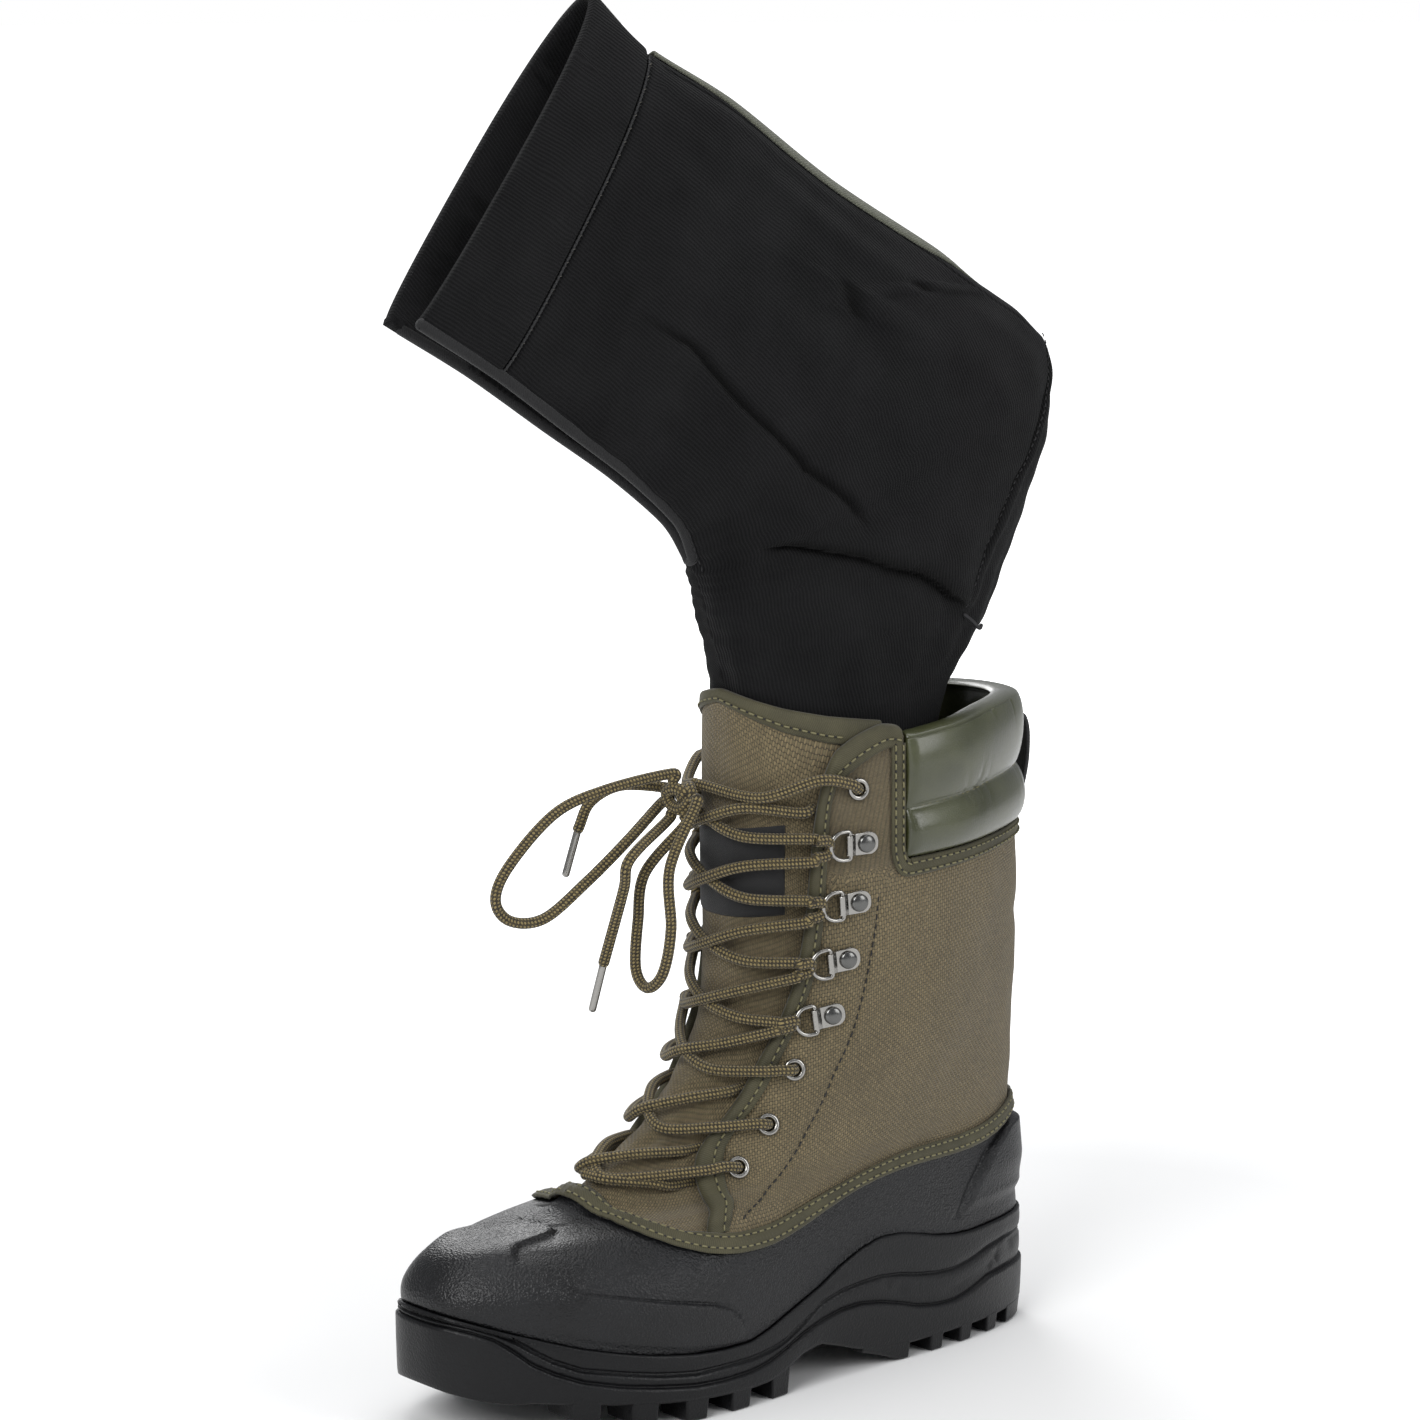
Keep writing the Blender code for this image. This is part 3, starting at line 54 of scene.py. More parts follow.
# front y, front z, back y, back z; half widths on the outer and inner side at 8, 30, 58 and 86 % of the
# way back; roundness of the ends; share of the toe's inward swing. y in LENGTH, z in HEIGHT, x in WIDTH.
SECTIONS = np.array([
    (-0.8250, 0.0759, 0.1281, 0.0759,  0.439, 0.487, 0.390, 0.368,  0.439, 0.500, 0.351, 0.368,  2.6, 1.0),
    (-0.8531, 0.1724, 0.1406, 0.1586,  0.447, 0.491, 0.386, 0.377,  0.456, 0.518, 0.351, 0.377,  2.6, 1.0),
    (-0.8469, 0.2172, 0.1375, 0.2345,  0.439, 0.465, 0.377, 0.364,  0.447, 0.491, 0.351, 0.364,  2.5, 1.0),
    (-0.8094, 0.2569, 0.1344, 0.2966,  0.351, 0.382, 0.360, 0.351,  0.351, 0.395, 0.346, 0.351,  2.4, 0.9),
    (-0.7313, 0.2707, 0.1344, 0.3448,  0.281, 0.342, 0.351, 0.338,  0.281, 0.355, 0.342, 0.338,  2.2, 0.7),
    (-0.6500, 0.2862, 0.1375, 0.3862,  0.246, 0.329, 0.351, 0.338,  0.246, 0.333, 0.342, 0.338,  2.1, 0.5),
    (-0.5750, 0.3397, 0.1406, 0.4414,  0.263, 0.333, 0.364, 0.338,  0.263, 0.338, 0.355, 0.338,  2.0, 0.4),
    (-0.4938, 0.4000, 0.1406, 0.5034,  0.298, 0.355, 0.377, 0.342,  0.298, 0.355, 0.368, 0.342,  2.0, 0.3),
    (-0.4375, 0.4690, 0.1391, 0.5655,  0.333, 0.373, 0.390, 0.346,  0.333, 0.373, 0.382, 0.346,  2.1, 0.2),
    (-0.4000, 0.5379, 0.1359, 0.6310,  0.360, 0.386, 0.399, 0.355,  0.360, 0.386, 0.395, 0.355,  2.2, 0.1),
    (-0.3906, 0.6379, 0.1297, 0.7069,  0.368, 0.395, 0.408, 0.364,  0.368, 0.395, 0.408, 0.364,  2.3, 0.0),
    (-0.3906, 0.8103, 0.1219, 0.8276,  0.377, 0.404, 0.421, 0.373,  0.377, 0.404, 0.421, 0.373,  2.3, 0.0),
    (-0.3875, 1.0000, 0.1125, 0.9828,  0.386, 0.404, 0.430, 0.386,  0.386, 0.404, 0.430, 0.386,  2.3, 0.0),
    (-0.3844, 1.0552, 0.1094, 1.0207,  0.386, 0.404, 0.430, 0.386,  0.386, 0.404, 0.430, 0.386,  2.3, 0.0),
])
STATIONS = (0.0, 0.08, 0.30, 0.58, 0.86, 1.0)
SWING = 0.088
SWING_FROM = 0.45


def cubic(a, b, c, d, f):
    """Catmull-Rom: the smooth curve through a, b, c and d at the share f of the way from b to c."""
    return 0.5 * (2 * b + (c - a) * f + (2 * a - 5 * b + 4 * c - d) * f ** 2 + (3 * b - a - 3 * c + d) * f ** 3)


def smooth_rows(v):
    """Every column of SECTIONS at row v, by a smooth curve through the rows."""
    last = len(SECTIONS) - 1
    t = np.clip(np.asarray(v, float), 0, last)
    k = np.clip(np.floor(t).astype(int), 0, last - 1)
    f = (t - k)[..., None]
    return cubic(*[SECTIONS[np.clip(k + j, 0, last)] for j in (-1, 0, 1, 2)], f)


def half_width(w, s):
    """Half width along the chord: a smooth curve through the four values, flat at both ends."""
    y = [w[..., 0], w[..., 0], w[..., 1], w[..., 2], w[..., 3], w[..., 3]]
    slope = [0 * y[0]]
    for i in range(1, 5):
        slope.append((y[i + 1] - y[i - 1]) / (STATIONS[i + 1] - STATIONS[i - 1]))
    slope.append(0 * y[0])
    out = 0 * s
    for i in range(5):
        h = STATIONS[i + 1] - STATIONS[i]
        f = np.clip((s - STATIONS[i]) / h, 0, 1)
        here = (s >= STATIONS[i]) & ((s < STATIONS[i + 1]) | (i == 4))
        curve = (2 * f ** 3 - 3 * f ** 2 + 1) * y[i] + (f ** 3 - 2 * f ** 2 + f) * h * slope[i]
        curve = curve + (3 * f ** 2 - 2 * f ** 3) * y[i + 1] + (f ** 3 - f ** 2) * h * slope[i + 1]
        out = np.where(here, curve, out)
    return out


def outer(u, v):
    """The boot's skin: a rounded loop between the row's front and back points."""
    u, v = np.broadcast_arrays(np.asarray(u, float), np.asarray(v, float))
    r = smooth_rows(v)
    s = (1 - np.cos(2 * np.pi * u)) / 2
    side = np.where(np.sin(2 * np.pi * u) >= 0, 1.0, -1.0)
    half = np.where(side > 0, half_width(r[..., 4:8], s), half_width(r[..., 8:12], s)) * WIDTH
    ends = np.clip(1 - np.abs(2 * s - 1) ** r[..., 12], 0, 1) ** (1 / r[..., 12])
    x = side * half * ends - SWING * WIDTH * r[..., 13] * np.clip(1 - s / SWING_FROM, 0, 1) ** 2
    y = (r[..., 0] + (r[..., 2] - r[..., 0]) * s) * LENGTH
    z = (r[..., 1] + (r[..., 3] - r[..., 1]) * s) * HEIGHT
    return np.stack([x, y, z], -1)


def unit(a):
    """Vectors made one long."""
    return a / np.maximum(np.linalg.norm(a, axis=-1, keepdims=True), 1e-12)


def frame_at(u, v):
    """Point, direction round the leg, direction up and outward normal of the skin."""
    u, v = np.broadcast_arrays(np.asarray(u, float), np.asarray(v, float))
    step = 2e-3
    top = len(SECTIONS) - 1
    along = unit(outer(u + step, v) - outer(u - step, v))
    up = outer(u, np.clip(v + 0.05, 0, top)) - outer(u, np.clip(v - 0.05, 0, top))
    normal = unit(np.cross(along, up))
    return outer(u, v), along, np.cross(normal, along), normal


def skin(u, v, off=0.0):
    """Points at a distance off the skin, outward."""
    point, _, _, normal = frame_at(u, v)
    return point + normal * np.asarray(off)[..., None]



def lateral(u):
    """u folded to the outer side, because both sides follow the same lines."""
    u = np.mod(u, 1.0)
    return np.minimum(u, 1 - u)


def along(table, key, k=1):
    """A short table's column k at the value key of its first column."""
    table = np.asarray(table)
    order = np.argsort(table[:, 0])
    return np.interp(key, table[order, 0], table[order, k])


def ease(x, low, high):
    """0 below low, 1 above high, smooth between."""
    t = np.clip((x - low) / (high - low), 0, 1)
    return t * t * (3 - 2 * t)


def between(x, low, high, soft):
    """1 between low and high, easing to 0 over soft outside the middle."""
    return np.minimum(ease(x, low, low + soft), ease(-x, -high, -high + soft))


def mesh_from(name, points, faces, uv=None, smooth=True):
    """An object at the origin from points, faces and one UV pair for each face corner."""
    mesh = bpy.data.meshes.new(name)
    mesh.from_pydata(np.asarray(points).reshape(-1, 3).tolist(), [], faces)
    if uv is not None:
        layer = mesh.uv_layers.new(name="cut")
        layer.data.foreach_set("uv", np.asarray(uv, np.float32).ravel())
    mesh.polygons.foreach_set("use_smooth", np.full(len(mesh.polygons), smooth))
    mesh.update()
    piece = bpy.data.objects.new(name, mesh)
    bpy.context.scene.collection.objects.link(piece)
    return piece


def grid_quads(n, m, wrap=False, wrap_up=False):
    """Corner numbers (i, j) of the quads of an n by m grid, the same numbers unwrapped for the UV map."""
    i, j = np.meshgrid(np.arange(n if wrap else n - 1), np.arange(m if wrap_up else m - 1), indexing="ij")
    i, j = i.ravel(), j.ravel()
    ci = np.stack([i, i + 1, i + 1, i], 1)
    cj = np.stack([j, j, j + 1, j + 1], 1)
    return (ci % n) * m + cj % m, ci, cj


def lengths(points, axis, wrap=False):
    """Distance run along one direction of a grid, in metres, with one more line where the grid closes."""
    if wrap:
        points = np.concatenate([points, np.take(points, [0], axis)], axis)
    steps = np.linalg.norm(np.diff(points, axis=axis), axis=-1)
    start = np.zeros_like(np.take(steps, [0], axis))
    return np.concatenate([start, np.cumsum(steps, axis)], axis)


def surface(name, points, wrap=False, wrap_up=False, wall=0.0, keep=None, smooth=True, cut=None):
    """A grid of points made a sheet; its UV map holds metres run along each direction, or cut's places on the
    cloth; wall is grown inward."""
    n, m = points.shape[:2]
    quads, ci, cj = grid_quads(n, m, wrap, wrap_up)
    if cut is None:
        across = lengths(points, 0, wrap)
        upward = lengths(points, 1, wrap_up)
        uv = np.stack([across[ci, cj % m], upward[ci % n, cj]], -1)
    else:
        uv = cut[ci, cj]
    if keep is not None:
        pick = keep(ci[:, 0], cj[:, 0])
        quads, uv = quads[pick], uv[pick]
    piece = mesh_from(name, points, quads.tolist(), uv, smooth)
    if keep is not None:
        tidy(piece)
    if wall:
        give_wall(piece, wall)
    return piece


def give_wall(piece, wall):
    """Grows a sheet inward by its wall."""
    thick = piece.modifiers.new("wall", "SOLIDIFY")
    thick.thickness = wall
    thick.offset = -1.0
    thick.use_even_offset = False


def tidy(piece, weld=0.0, outward=False):
    """Drops loose points, welds points nearer than weld, and turns the faces outward."""
    work = bmesh.new()
    work.from_mesh(piece.data)
    bmesh.ops.delete(work, geom=[v for v in work.verts if not v.link_faces], context="VERTS")
    if weld:
        bmesh.ops.remove_doubles(work, verts=work.verts, dist=weld)
        bmesh.ops.dissolve_degenerate(work, dist=1e-7, edges=work.edges)
    if outward:
        bmesh.ops.recalc_face_normals(work, faces=work.faces)
    work.to_mesh(piece.data)
    work.free()
    return piece


def lighten(piece, share):
    """Keeps the given share of a sheet's triangles, most of them where it bends, ahead of its wall."""
    fewer = piece.modifiers.new("lighten", "DECIMATE")
    fewer.ratio = share
    bpy.context.view_layer.objects.active = piece
    bpy.ops.object.modifier_move_to_index(modifier="lighten", index=0)
    bpy.ops.object.modifier_apply(modifier="lighten")
    return piece


def finish(piece, material, slot, *nodes):
    """Gives the piece its material and its body, and hides the CAD nodes that it stands for; slot is not used."""
    piece.data.materials.clear()
    piece.data.materials.append(material)
    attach(piece, "root")
    if nodes:
        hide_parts(*nodes)
    return piece


def wobble(shape, seed, *periods):
    """Smooth seeded noise over a grid: random rows of sines in both directions, each period in grid steps."""
    rng = np.random.default_rng(seed)
    i, j = np.meshgrid(np.arange(shape[0]), np.arange(shape[1]), indexing="ij")
    total = np.zeros(shape)
    for period in periods:
        for _ in range(6):
            a, b = rng.normal(0, 1, 2) / period
            total += np.sin(2 * np.pi * (a * i + b * j) + rng.uniform(0, 2 * np.pi)) / 6
    return total


def add_node(tree, kind, settings=None, at=None, **inputs):
    """A shader node; inputs go by name, or by number in at; a socket is linked and anything else is set."""
    made = tree.nodes.new("ShaderNode" + kind)
    for key, value in (settings or {}).items():
        setattr(made, key, value)
    named = {key.replace("_", " "): value for key, value in inputs.items()}
    for key, value in {**named, **(at or {})}.items():
        if isinstance(value, bpy.types.NodeSocket):
            tree.links.new(value, made.inputs[key])
        else:
            made.inputs[key].default_value = value
    return made


def math_node(tree, operation, *values):
    """One sum, product or other operation of values."""
    return add_node(tree, "Math", {"operation": operation}, dict(enumerate(values))).outputs[0]


def blend_colours(tree, share, first, second):
    """The first colour passing over to the second by the share."""
    return add_node(tree, "Mix", {"data_type": "RGBA"}, {0: share, 6: first, 7: second}).outputs[2]


def on_cloth(points, middle):
    """Places on flat cloth: metres from the middle column along each row, and up the middle column."""
    across = lengths(points, 0)
    up = lengths(points[middle:middle + 1], 1)
    return np.stack([across - across[middle][None], np.repeat(up, len(points), 0)], -1)


def span(tree, value, a, b, c, d):
    """value from the range a..b carried to c..d."""
    return add_node(tree, "MapRange", at={0: value, 1: a, 2: b, 3: c, 4: d}).outputs[0]


def start_material(name, roughness, metallic=0.0, **fixed):
    """A material with one Principled shader whose fixed sockets are set."""
    material = bpy.data.materials.new(name)
    material.use_nodes = True
    tree = material.node_tree
    shader = tree.nodes["Principled BSDF"]
    shader.inputs["Roughness"].default_value = roughness
    shader.inputs["Metallic"].default_value = metallic
    for key, value in fixed.items():
        shader.inputs[key.replace("_", " ")].default_value = value
    return material, tree, shader


def bump(tree, shader, height, distance, strength):
    """Raises the shading by height over distance metres."""
    made = add_node(tree, "Bump", Strength=strength, Distance=distance, Height=height)
    tree.links.new(made.outputs[0], shader.inputs["Normal"])


def shade(hexed):
    """A linear colour with alpha from an sRGB hex word."""
    parts = [int(hexed[k:k + 2], 16) / 255 for k in (0, 2, 4)]
    return (*[c / 12.92 if c <= 0.04045 else ((c + 0.055) / 1.055) ** 2.4 for c in parts], 1.0)


def start_group(name, colours, values, results):
    """A node group with colour and value inputs; it puts out Colour and the results, which are values."""
    group = bpy.data.node_groups.new(name, "ShaderNodeTree")
    sockets = [(word, "Color", "INPUT") for word in colours] + [(word, "Float", "INPUT") for word in values]
    sockets += [("Colour", "Color", "OUTPUT")] + [(word, "Float", "OUTPUT") for word in results]
    for word, kind, way in sockets:
        group.interface.new_socket(word, in_out=way, socket_type="NodeSocket" + kind)
    return group, group.nodes.new("NodeGroupInput").outputs, group.nodes.new("NodeGroupOutput").inputs


def rubber_group():
    """Moulded rubber: fine pebble and soft bloom over the charcoal, by Object coordinates."""
    group, given, out = start_group("moulded rubber", ("Dark", "Pale"), ("Grain",), ("Rough", "Height"))
    place = add_node(group, "TexCoord").outputs["Object"]
    bloom = add_node(group, "TexNoise", Vector=place, Scale=38.0, Detail=5.0, Roughness=0.6).outputs[0]
    scuff = add_node(group, "TexNoise", Vector=place, Scale=420.0, Detail=3.0, Roughness=0.7).outputs[0]
    pebble = add_node(group, "TexVoronoi", {"feature": "SMOOTH_F1"}, Vector=place, Scale=1150.0)
    speck = span(group, scuff, 0.56, 0.78, 0.0, 0.55)
    mask = math_node(group, "ADD", span(group, bloom, 0.40, 0.75, 0.0, 0.6), speck)
    group.links.new(blend_colours(group, mask, given["Dark"], given["Pale"]), out["Colour"])
    group.links.new(span(group, bloom, 0.3, 0.7, 0.34, 0.48), out["Rough"])
    grain = math_node(group, "MULTIPLY", pebble.outputs["Distance"], given["Grain"])
    group.links.new(math_node(group, "ADD", grain, math_node(group, "MULTIPLY", scuff, 0.25)), out["Height"])
    return group


RUBBER = rubber_group()


def rubber(name, dark, pale, grain, gloss):
    """Moulded rubber between two colours, pebbled by grain."""
    material, tree, shader = start_material(name, 0.5, Specular_IOR_Level=gloss)
    made = add_node(tree, "Group", {"node_tree": RUBBER}, Dark=shade(dark), Pale=shade(pale), Grain=grain)
    tree.links.new(made.outputs["Colour"], shader.inputs["Base Color"])
    tree.links.new(made.outputs["Rough"], shader.inputs["Roughness"])
    bump(tree, shader, made.outputs["Height"], 0.0005, 0.8)
    return material


# Sole
# Compression-moulded rubber unit in one piece: lugs, a sculpted side wall that climbs into a toe bumper, and a
# rand in whose groove the shell is cemented. Its lines rise and fall along the side as the mould was cut.

# Height of those lines along the side. y in LENGTH; then in SOLE_SIDE: top of the rand, its groove, top of the
# outsole, tread base, lug bottoms, footbed.
SOLE_LINES = np.array([
    (-0.8625,  0.922, 0.871, 0.824, 0.379, 0.345, 0.586),
    (-0.8438,  0.888, 0.853, 0.813, 0.328, 0.310, 0.570),
    (-0.8250,  0.852, 0.831, 0.784, 0.296, 0.278, 0.554),
    (-0.8031,  0.811, 0.786, 0.732, 0.269, 0.244, 0.536),
    (-0.7812,  0.771, 0.731, 0.636, 0.252, 0.208, 0.517),
    (-0.7625,  0.739, 0.655, 0.543, 0.259, 0.179, 0.500),
    (-0.7375,  0.695, 0.569, 0.466, 0.244, 0.139, 0.477),
    (-0.7031,  0.637, 0.488, 0.388, 0.223, 0.097, 0.445),
    (-0.6531,  0.576, 0.438, 0.328, 0.193, 0.054, 0.409),
    (-0.6062,  0.533, 0.397, 0.293, 0.170, 0.019, 0.379),
    (-0.5500,  0.496, 0.364, 0.259, 0.150, 0.000, 0.363),
    (-0.5031,  0.483, 0.366, 0.252, 0.137, 0.000, 0.354),
    (-0.4531,  0.484, 0.366, 0.259, 0.130, 0.000, 0.362),
    (-0.4188,  0.534, 0.385, 0.288, 0.138, 0.000, 0.368),
    (-0.3875,  0.595, 0.417, 0.341, 0.179, 0.000, 0.386),
    (-0.3531,  0.662, 0.502, 0.412, 0.266, 0.000, 0.415),
    (-0.3156,  0.738, 0.612, 0.472, 0.299, 0.000, 0.446),
    (-0.2750,  0.853, 0.665, 0.514, 0.231, 0.000, 0.469),
    (-0.2375,  0.939, 0.686, 0.520, 0.164, 0.140, 0.490),
    (-0.2000,  0.994, 0.694, 0.491, 0.129, 0.076, 0.510),
    (-0.1625,  0.987, 0.672, 0.440, 0.112, 0.000, 0.521),
    (-0.1313,  0.952, 0.638, 0.388, 0.112, 0.000, 0.525),
    (-0.0938,  0.900, 0.608, 0.355, 0.112, 0.000, 0.530),
    (-0.0563,  0.864, 0.599, 0.350, 0.112, 0.000, 0.534),
    (-0.0187,  0.852, 0.631, 0.390, 0.112, 0.000, 0.534),
    (0.0187,  0.857, 0.681, 0.453, 0.112, 0.000, 0.534),
    (0.0625,  0.862, 0.707, 0.466, 0.112, 0.000, 0.534),
    (0.1094,  0.862, 0.697, 0.466, 0.120, 0.005, 0.534),
    (0.1562,  0.862, 0.690, 0.466, 0.138, 0.017, 0.534),
])
RAND_TOP, GROOVE, OUTSOLE_TOP, TREAD, LUG_FOOT, FOOTBED = range(1, 7)
RAND_STEP = 0.0014
LEDGE = 0.0048
# the extra groove that waves over the heel's side, in the same units, its depth and half width
SOLE_RIB = np.array([(-0.235, 0.60), (-0.209, 0.698), (-0.181, 0.603), (-0.147, 0.510), (-0.103, 0.460),
                     (-0.056, 0.424), (-0.019, 0.440), (0.016, 0.500), (0.047, 0.603), (0.09, 0.66),
                     (0.15, 0.69)])
RIB_DEEP = 0.0013
RIB_WIDE = 0.0011


def sole_line(y, k):
    """Height of the side's line k at y."""
    return along(SOLE_LINES, np.asarray(y) / LENGTH, k) * SOLE_SIDE


def outline_ring(count, off):
    """Plan outline of the sole, a loop of the skin moved outward by off."""
    u = np.arange(count) / count
    p = outer(u, 1.0)[:, :2]
    t = unit(np.roll(p, -1, 0) - np.roll(p, 1, 0))
    return p + np.stack([t[:, 1], -t[:, 0]], -1) * off


def side_at(y, side, off):
    """x of the sole's outline on one side at y."""
    half = 240
    ring = outline_ring(2 * half, off)
    pick = ring[:half + 1] if side > 0 else np.concatenate([ring[half:], ring[:1]])
    order = np.argsort(pick[:, 1])
    return np.interp(y, pick[order, 1], pick[order, 0])


# profile of the side wall, down from the rand's top: at each mould line (lift, step out) in mm, and between two
# lines (share of the way up, step out in mm)
SIDE_STEPS = (
    (RAND_TOP, ((-0.2, -0.2), (0.0, 0.6), (-0.3, 1.3), (-1.0, 1.6), (-2.2, 1.5))),
    ("mid", ((0.55, 1.7), (0.3, 1.6))),
    (GROOVE, ((1.3, 1.4), (0.7, 1.1), (0.3, 0.5), (0.0, 0.1), (-0.5, 0.2), (-0.9, 0.9), (-1.5, 1.3))),
    ("low", ((0.75, 1.5), (0.5, 1.6), (0.28, 1.5))),
    (OUTSOLE_TOP, ((1.4, 1.2), (0.7, 0.9), (0.25, 0.5), (0.0, 0.9), (-0.2, 1.9), (-0.8, 2.5), (-1.8, 2.6))),
    ("foot", ((0.6, 2.5), (0.3, 2.3), (0.1, 2.1))),
    (TREAD, ((0.7, 1.8), (0.2, 1.2), (0.0, 0.3))),
)


def sole_body():
    """Side wall: rings of the outline, each at a mould line's height plus a lift and set out by its step; the
    bottom and the footbed are rows that run across from side to side and meet the wall's edges."""
    count = 360
    mm = 0.001
    pairs = {"mid": (GROOVE, RAND_TOP), "low": (OUTSOLE_TOP, GROOVE), "foot": (TREAD, OUTSOLE_TOP)}
    rows = [(FOOTBED, 0.0, -LEDGE - CLEAR), (RAND_TOP, -1.2 * mm, -LEDGE),
            (RAND_TOP, -1.0 * mm, -LEDGE + 0.3 * mm)]
    rows += [(line, lift if line in pairs else lift * mm, off * mm) for line, steps in SIDE_STEPS
             for lift, off in steps]
    base = outline_ring(count, 0.0)
    wall = []
    for line, lift, off in rows:
        if line in pairs:
            low, high = (sole_line(base[:, 1], k) for k in pairs[line])
            z = low + (high - low) * lift
        else:
            z = sole_line(base[:, 1], line) + lift
        ring = outline_ring(count, off)
        rib = along(SOLE_RIB, base[:, 1] / LENGTH) * SOLE_SIDE
        cut = np.exp(-((z - rib) / RIB_WIDE) ** 2) * ease(base[:, 1], -0.068, -0.058) * (off > 1.2 * mm)
        inward = unit(outline_ring(count, off - mm) - ring)
        wall.append(np.column_stack([ring + inward * (RIB_DEEP * cut)[:, None], z]))
    wall = np.stack(wall[::-1], 1)
    fill = np.linspace(0, 1, 15)[None, :, None]
    half = count // 2
    one, two = np.arange(half + 1), (count - np.arange(half + 1)) % count
    bottom = wall[one, 0][:, None] * (1 - fill) + wall[two, 0][:, None] * fill
    bed = wall[two, -1][:, None] * (1 - fill) + wall[one, -1][:, None] * fill
    points, faces, start = [], [], 0
    for part, wrap in ((wall, True), (bottom, False), (bed, False)):
        points.append(part.reshape(-1, 3))
        faces += (grid_quads(*part.shape[:2], wrap)[0] + start).tolist()
        start += len(points[-1])
    piece = mesh_from("sole_unit", np.concatenate(points), faces)
    return tidy(piece, 0.00002, outward=True)


LUG_LONG = 0.0115
LUG_PITCH = 0.0242
HEEL_LUG = 0.0085
HEEL_PITCH = 0.0195
LUG_WIDE = 0.022
CENTRE_LUG = 0.027
BALL_LUG = -0.3975
BREAST = (-0.2375, -0.145)
HEEL_END = (0.068, 0.118)
DRAFT = 0.0011
LUG_ROUND = 0.0009


def tread():
    """Lugs: blocks whose feet are the plan loop drawn in by the mould's draft, rounded at every edge."""
    edge = 1.6 * RAND_STEP
    blocks = []

    def pair(y0, y1):
        for side in (1, -1):
            p, q, w = side_at(y0, side, edge), side_at(y1, side, edge), side * LUG_WIDE
            blocks.append([(y0, p), (y1, q), (y1, q - 0.8 * w), (y1 - 0.2 * (y1 - y0), q - w), (y0, p - 0.9 * w),
                           (y0 - 0.0006, p - 0.3 * w)])

    def middle(y0, y1, lean):
        c = (side_at((y0 + y1) / 2, 1, 0) + side_at((y0 + y1) / 2, -1, 0)) / 2
        w = CENTRE_LUG / 2
        blocks.append([(y0, c - w), (y0 + lean, c), (y0, c + w), (y1, c + w), (y1 + lean, c), (y1, c - w)])

    for k in range(5):
        mid = BALL_LUG * LENGTH - k * LUG_PITCH
        pair(mid - LUG_LONG / 2, mid + LUG_LONG / 2)
        if k < 4:
            middle(mid - 0.5 * (LUG_PITCH + LUG_LONG), mid - 0.5 * (LUG_PITCH - LUG_LONG), 0.25 * LUG_LONG)
    for k in range(3):
        mid = (k - 1.5) * HEEL_PITCH
        pair(mid - HEEL_LUG / 2, mid + HEEL_LUG / 2)
        if k < 2:
            middle(mid + 0.5 * (HEEL_PITCH - HEEL_LUG), mid + 0.5 * (HEEL_PITCH + HEEL_LUG), 0.0)
    for y0, y1 in (BREAST, HEEL_END):
        y = np.linspace(y0 * LENGTH, y1 * LENGTH, 9)
        blocks.append([(b, side_at(b, 1, edge)) for b in y] + [(b, side_at(b, -1, edge)) for b in y[::-1]])
    points, faces = [], []
    for loop in blocks:
        loop = np.array(loop)
        mid = loop.mean(0)
        base = len(points)
        n = len(loop)
        for inset, line, lift in ((DRAFT, LUG_FOOT, 0.0), (0.0, TREAD, 0.0022)):
            drawn = loop + unit(mid - loop) * inset
            points += [(x, y, sole_line(y, line) + lift) for y, x in drawn]
        faces += [tuple(range(base, base + n)), tuple(range(base + n, base + 2 * n))]
        faces += [(base + k, base + (k + 1) % n, base + n + (k + 1) % n, base + n + k) for k in range(n)]
    piece = tidy(mesh_from("tread_lugs", points, faces, smooth=False), outward=True)
    edges = piece.modifiers.new("round", "BEVEL")
    edges.width = LUG_ROUND
    edges.segments = 2
    edges.limit_method = "ANGLE"
    return piece


SOLE_RUBBER = rubber("matt moulded rubber", "08080a", "131416", 0.4, 0.30)
finish(sole_body(), SOLE_RUBBER, "rubber_sole", "outsole")
finish(tread(), SOLE_RUBBER, "rubber_sole", "outsole")


# Insole
# Needled felt sock that lies loose in the tray of the sole.
INSOLE_WALL = 0.0045
SHELL_WALL = 0.0030


def insole():
    """The outline drawn in, domed 0.6 mm in the middle; rows run across from side to side."""
    count = 160
    ring = outline_ring(count, -LEDGE - SHELL_WALL * 0.4 - 3 * CLEAR)
    half = count // 2
    one, two = np.arange(half + 1), (count - np.arange(half + 1)) % count
    s = np.linspace(0, 1, 21)[None, :, None]
    plan = ring[one][:, None] * (1 - s) + ring[two][:, None] * s
    edge = 1 - np.abs(2 * s[..., 0] - 1) ** 6
    z = sole_line(plan[..., 1], FOOTBED) + 2 * CLEAR
    top = np.concatenate([plan, (z + INSOLE_WALL - 0.0008 * (1 - edge))[..., None]], -1)
    low = np.concatenate([plan, z[..., None]], -1)
    grid = np.concatenate([top, low[:, ::-1]], 1)
    piece = surface("felt_insole", grid[::-1], wrap_up=True)
    return tidy(piece, 0.00002, outward=True)


def felt():
    """Grey needled felt: fine fibre noise over two greys."""
    material, tree, shader = start_material("grey felt", 0.95, Sheen_Weight=0.4, Sheen_Roughness=0.6)
    place = add_node(tree, "TexCoord").outputs["Object"]
    fibre = add_node(tree, "TexNoise", Vector=place, Scale=900.0, Detail=6.0, Roughness=0.75).outputs[0]
    tree.links.new(blend_colours(tree, fibre, shade("3a3a3c"), shade("66666a")), shader.inputs["Base Color"])
    bump(tree, shader, fibre, 0.0006, 0.5)
    return material


finish(insole(), felt(), "insole_felt", "insole")


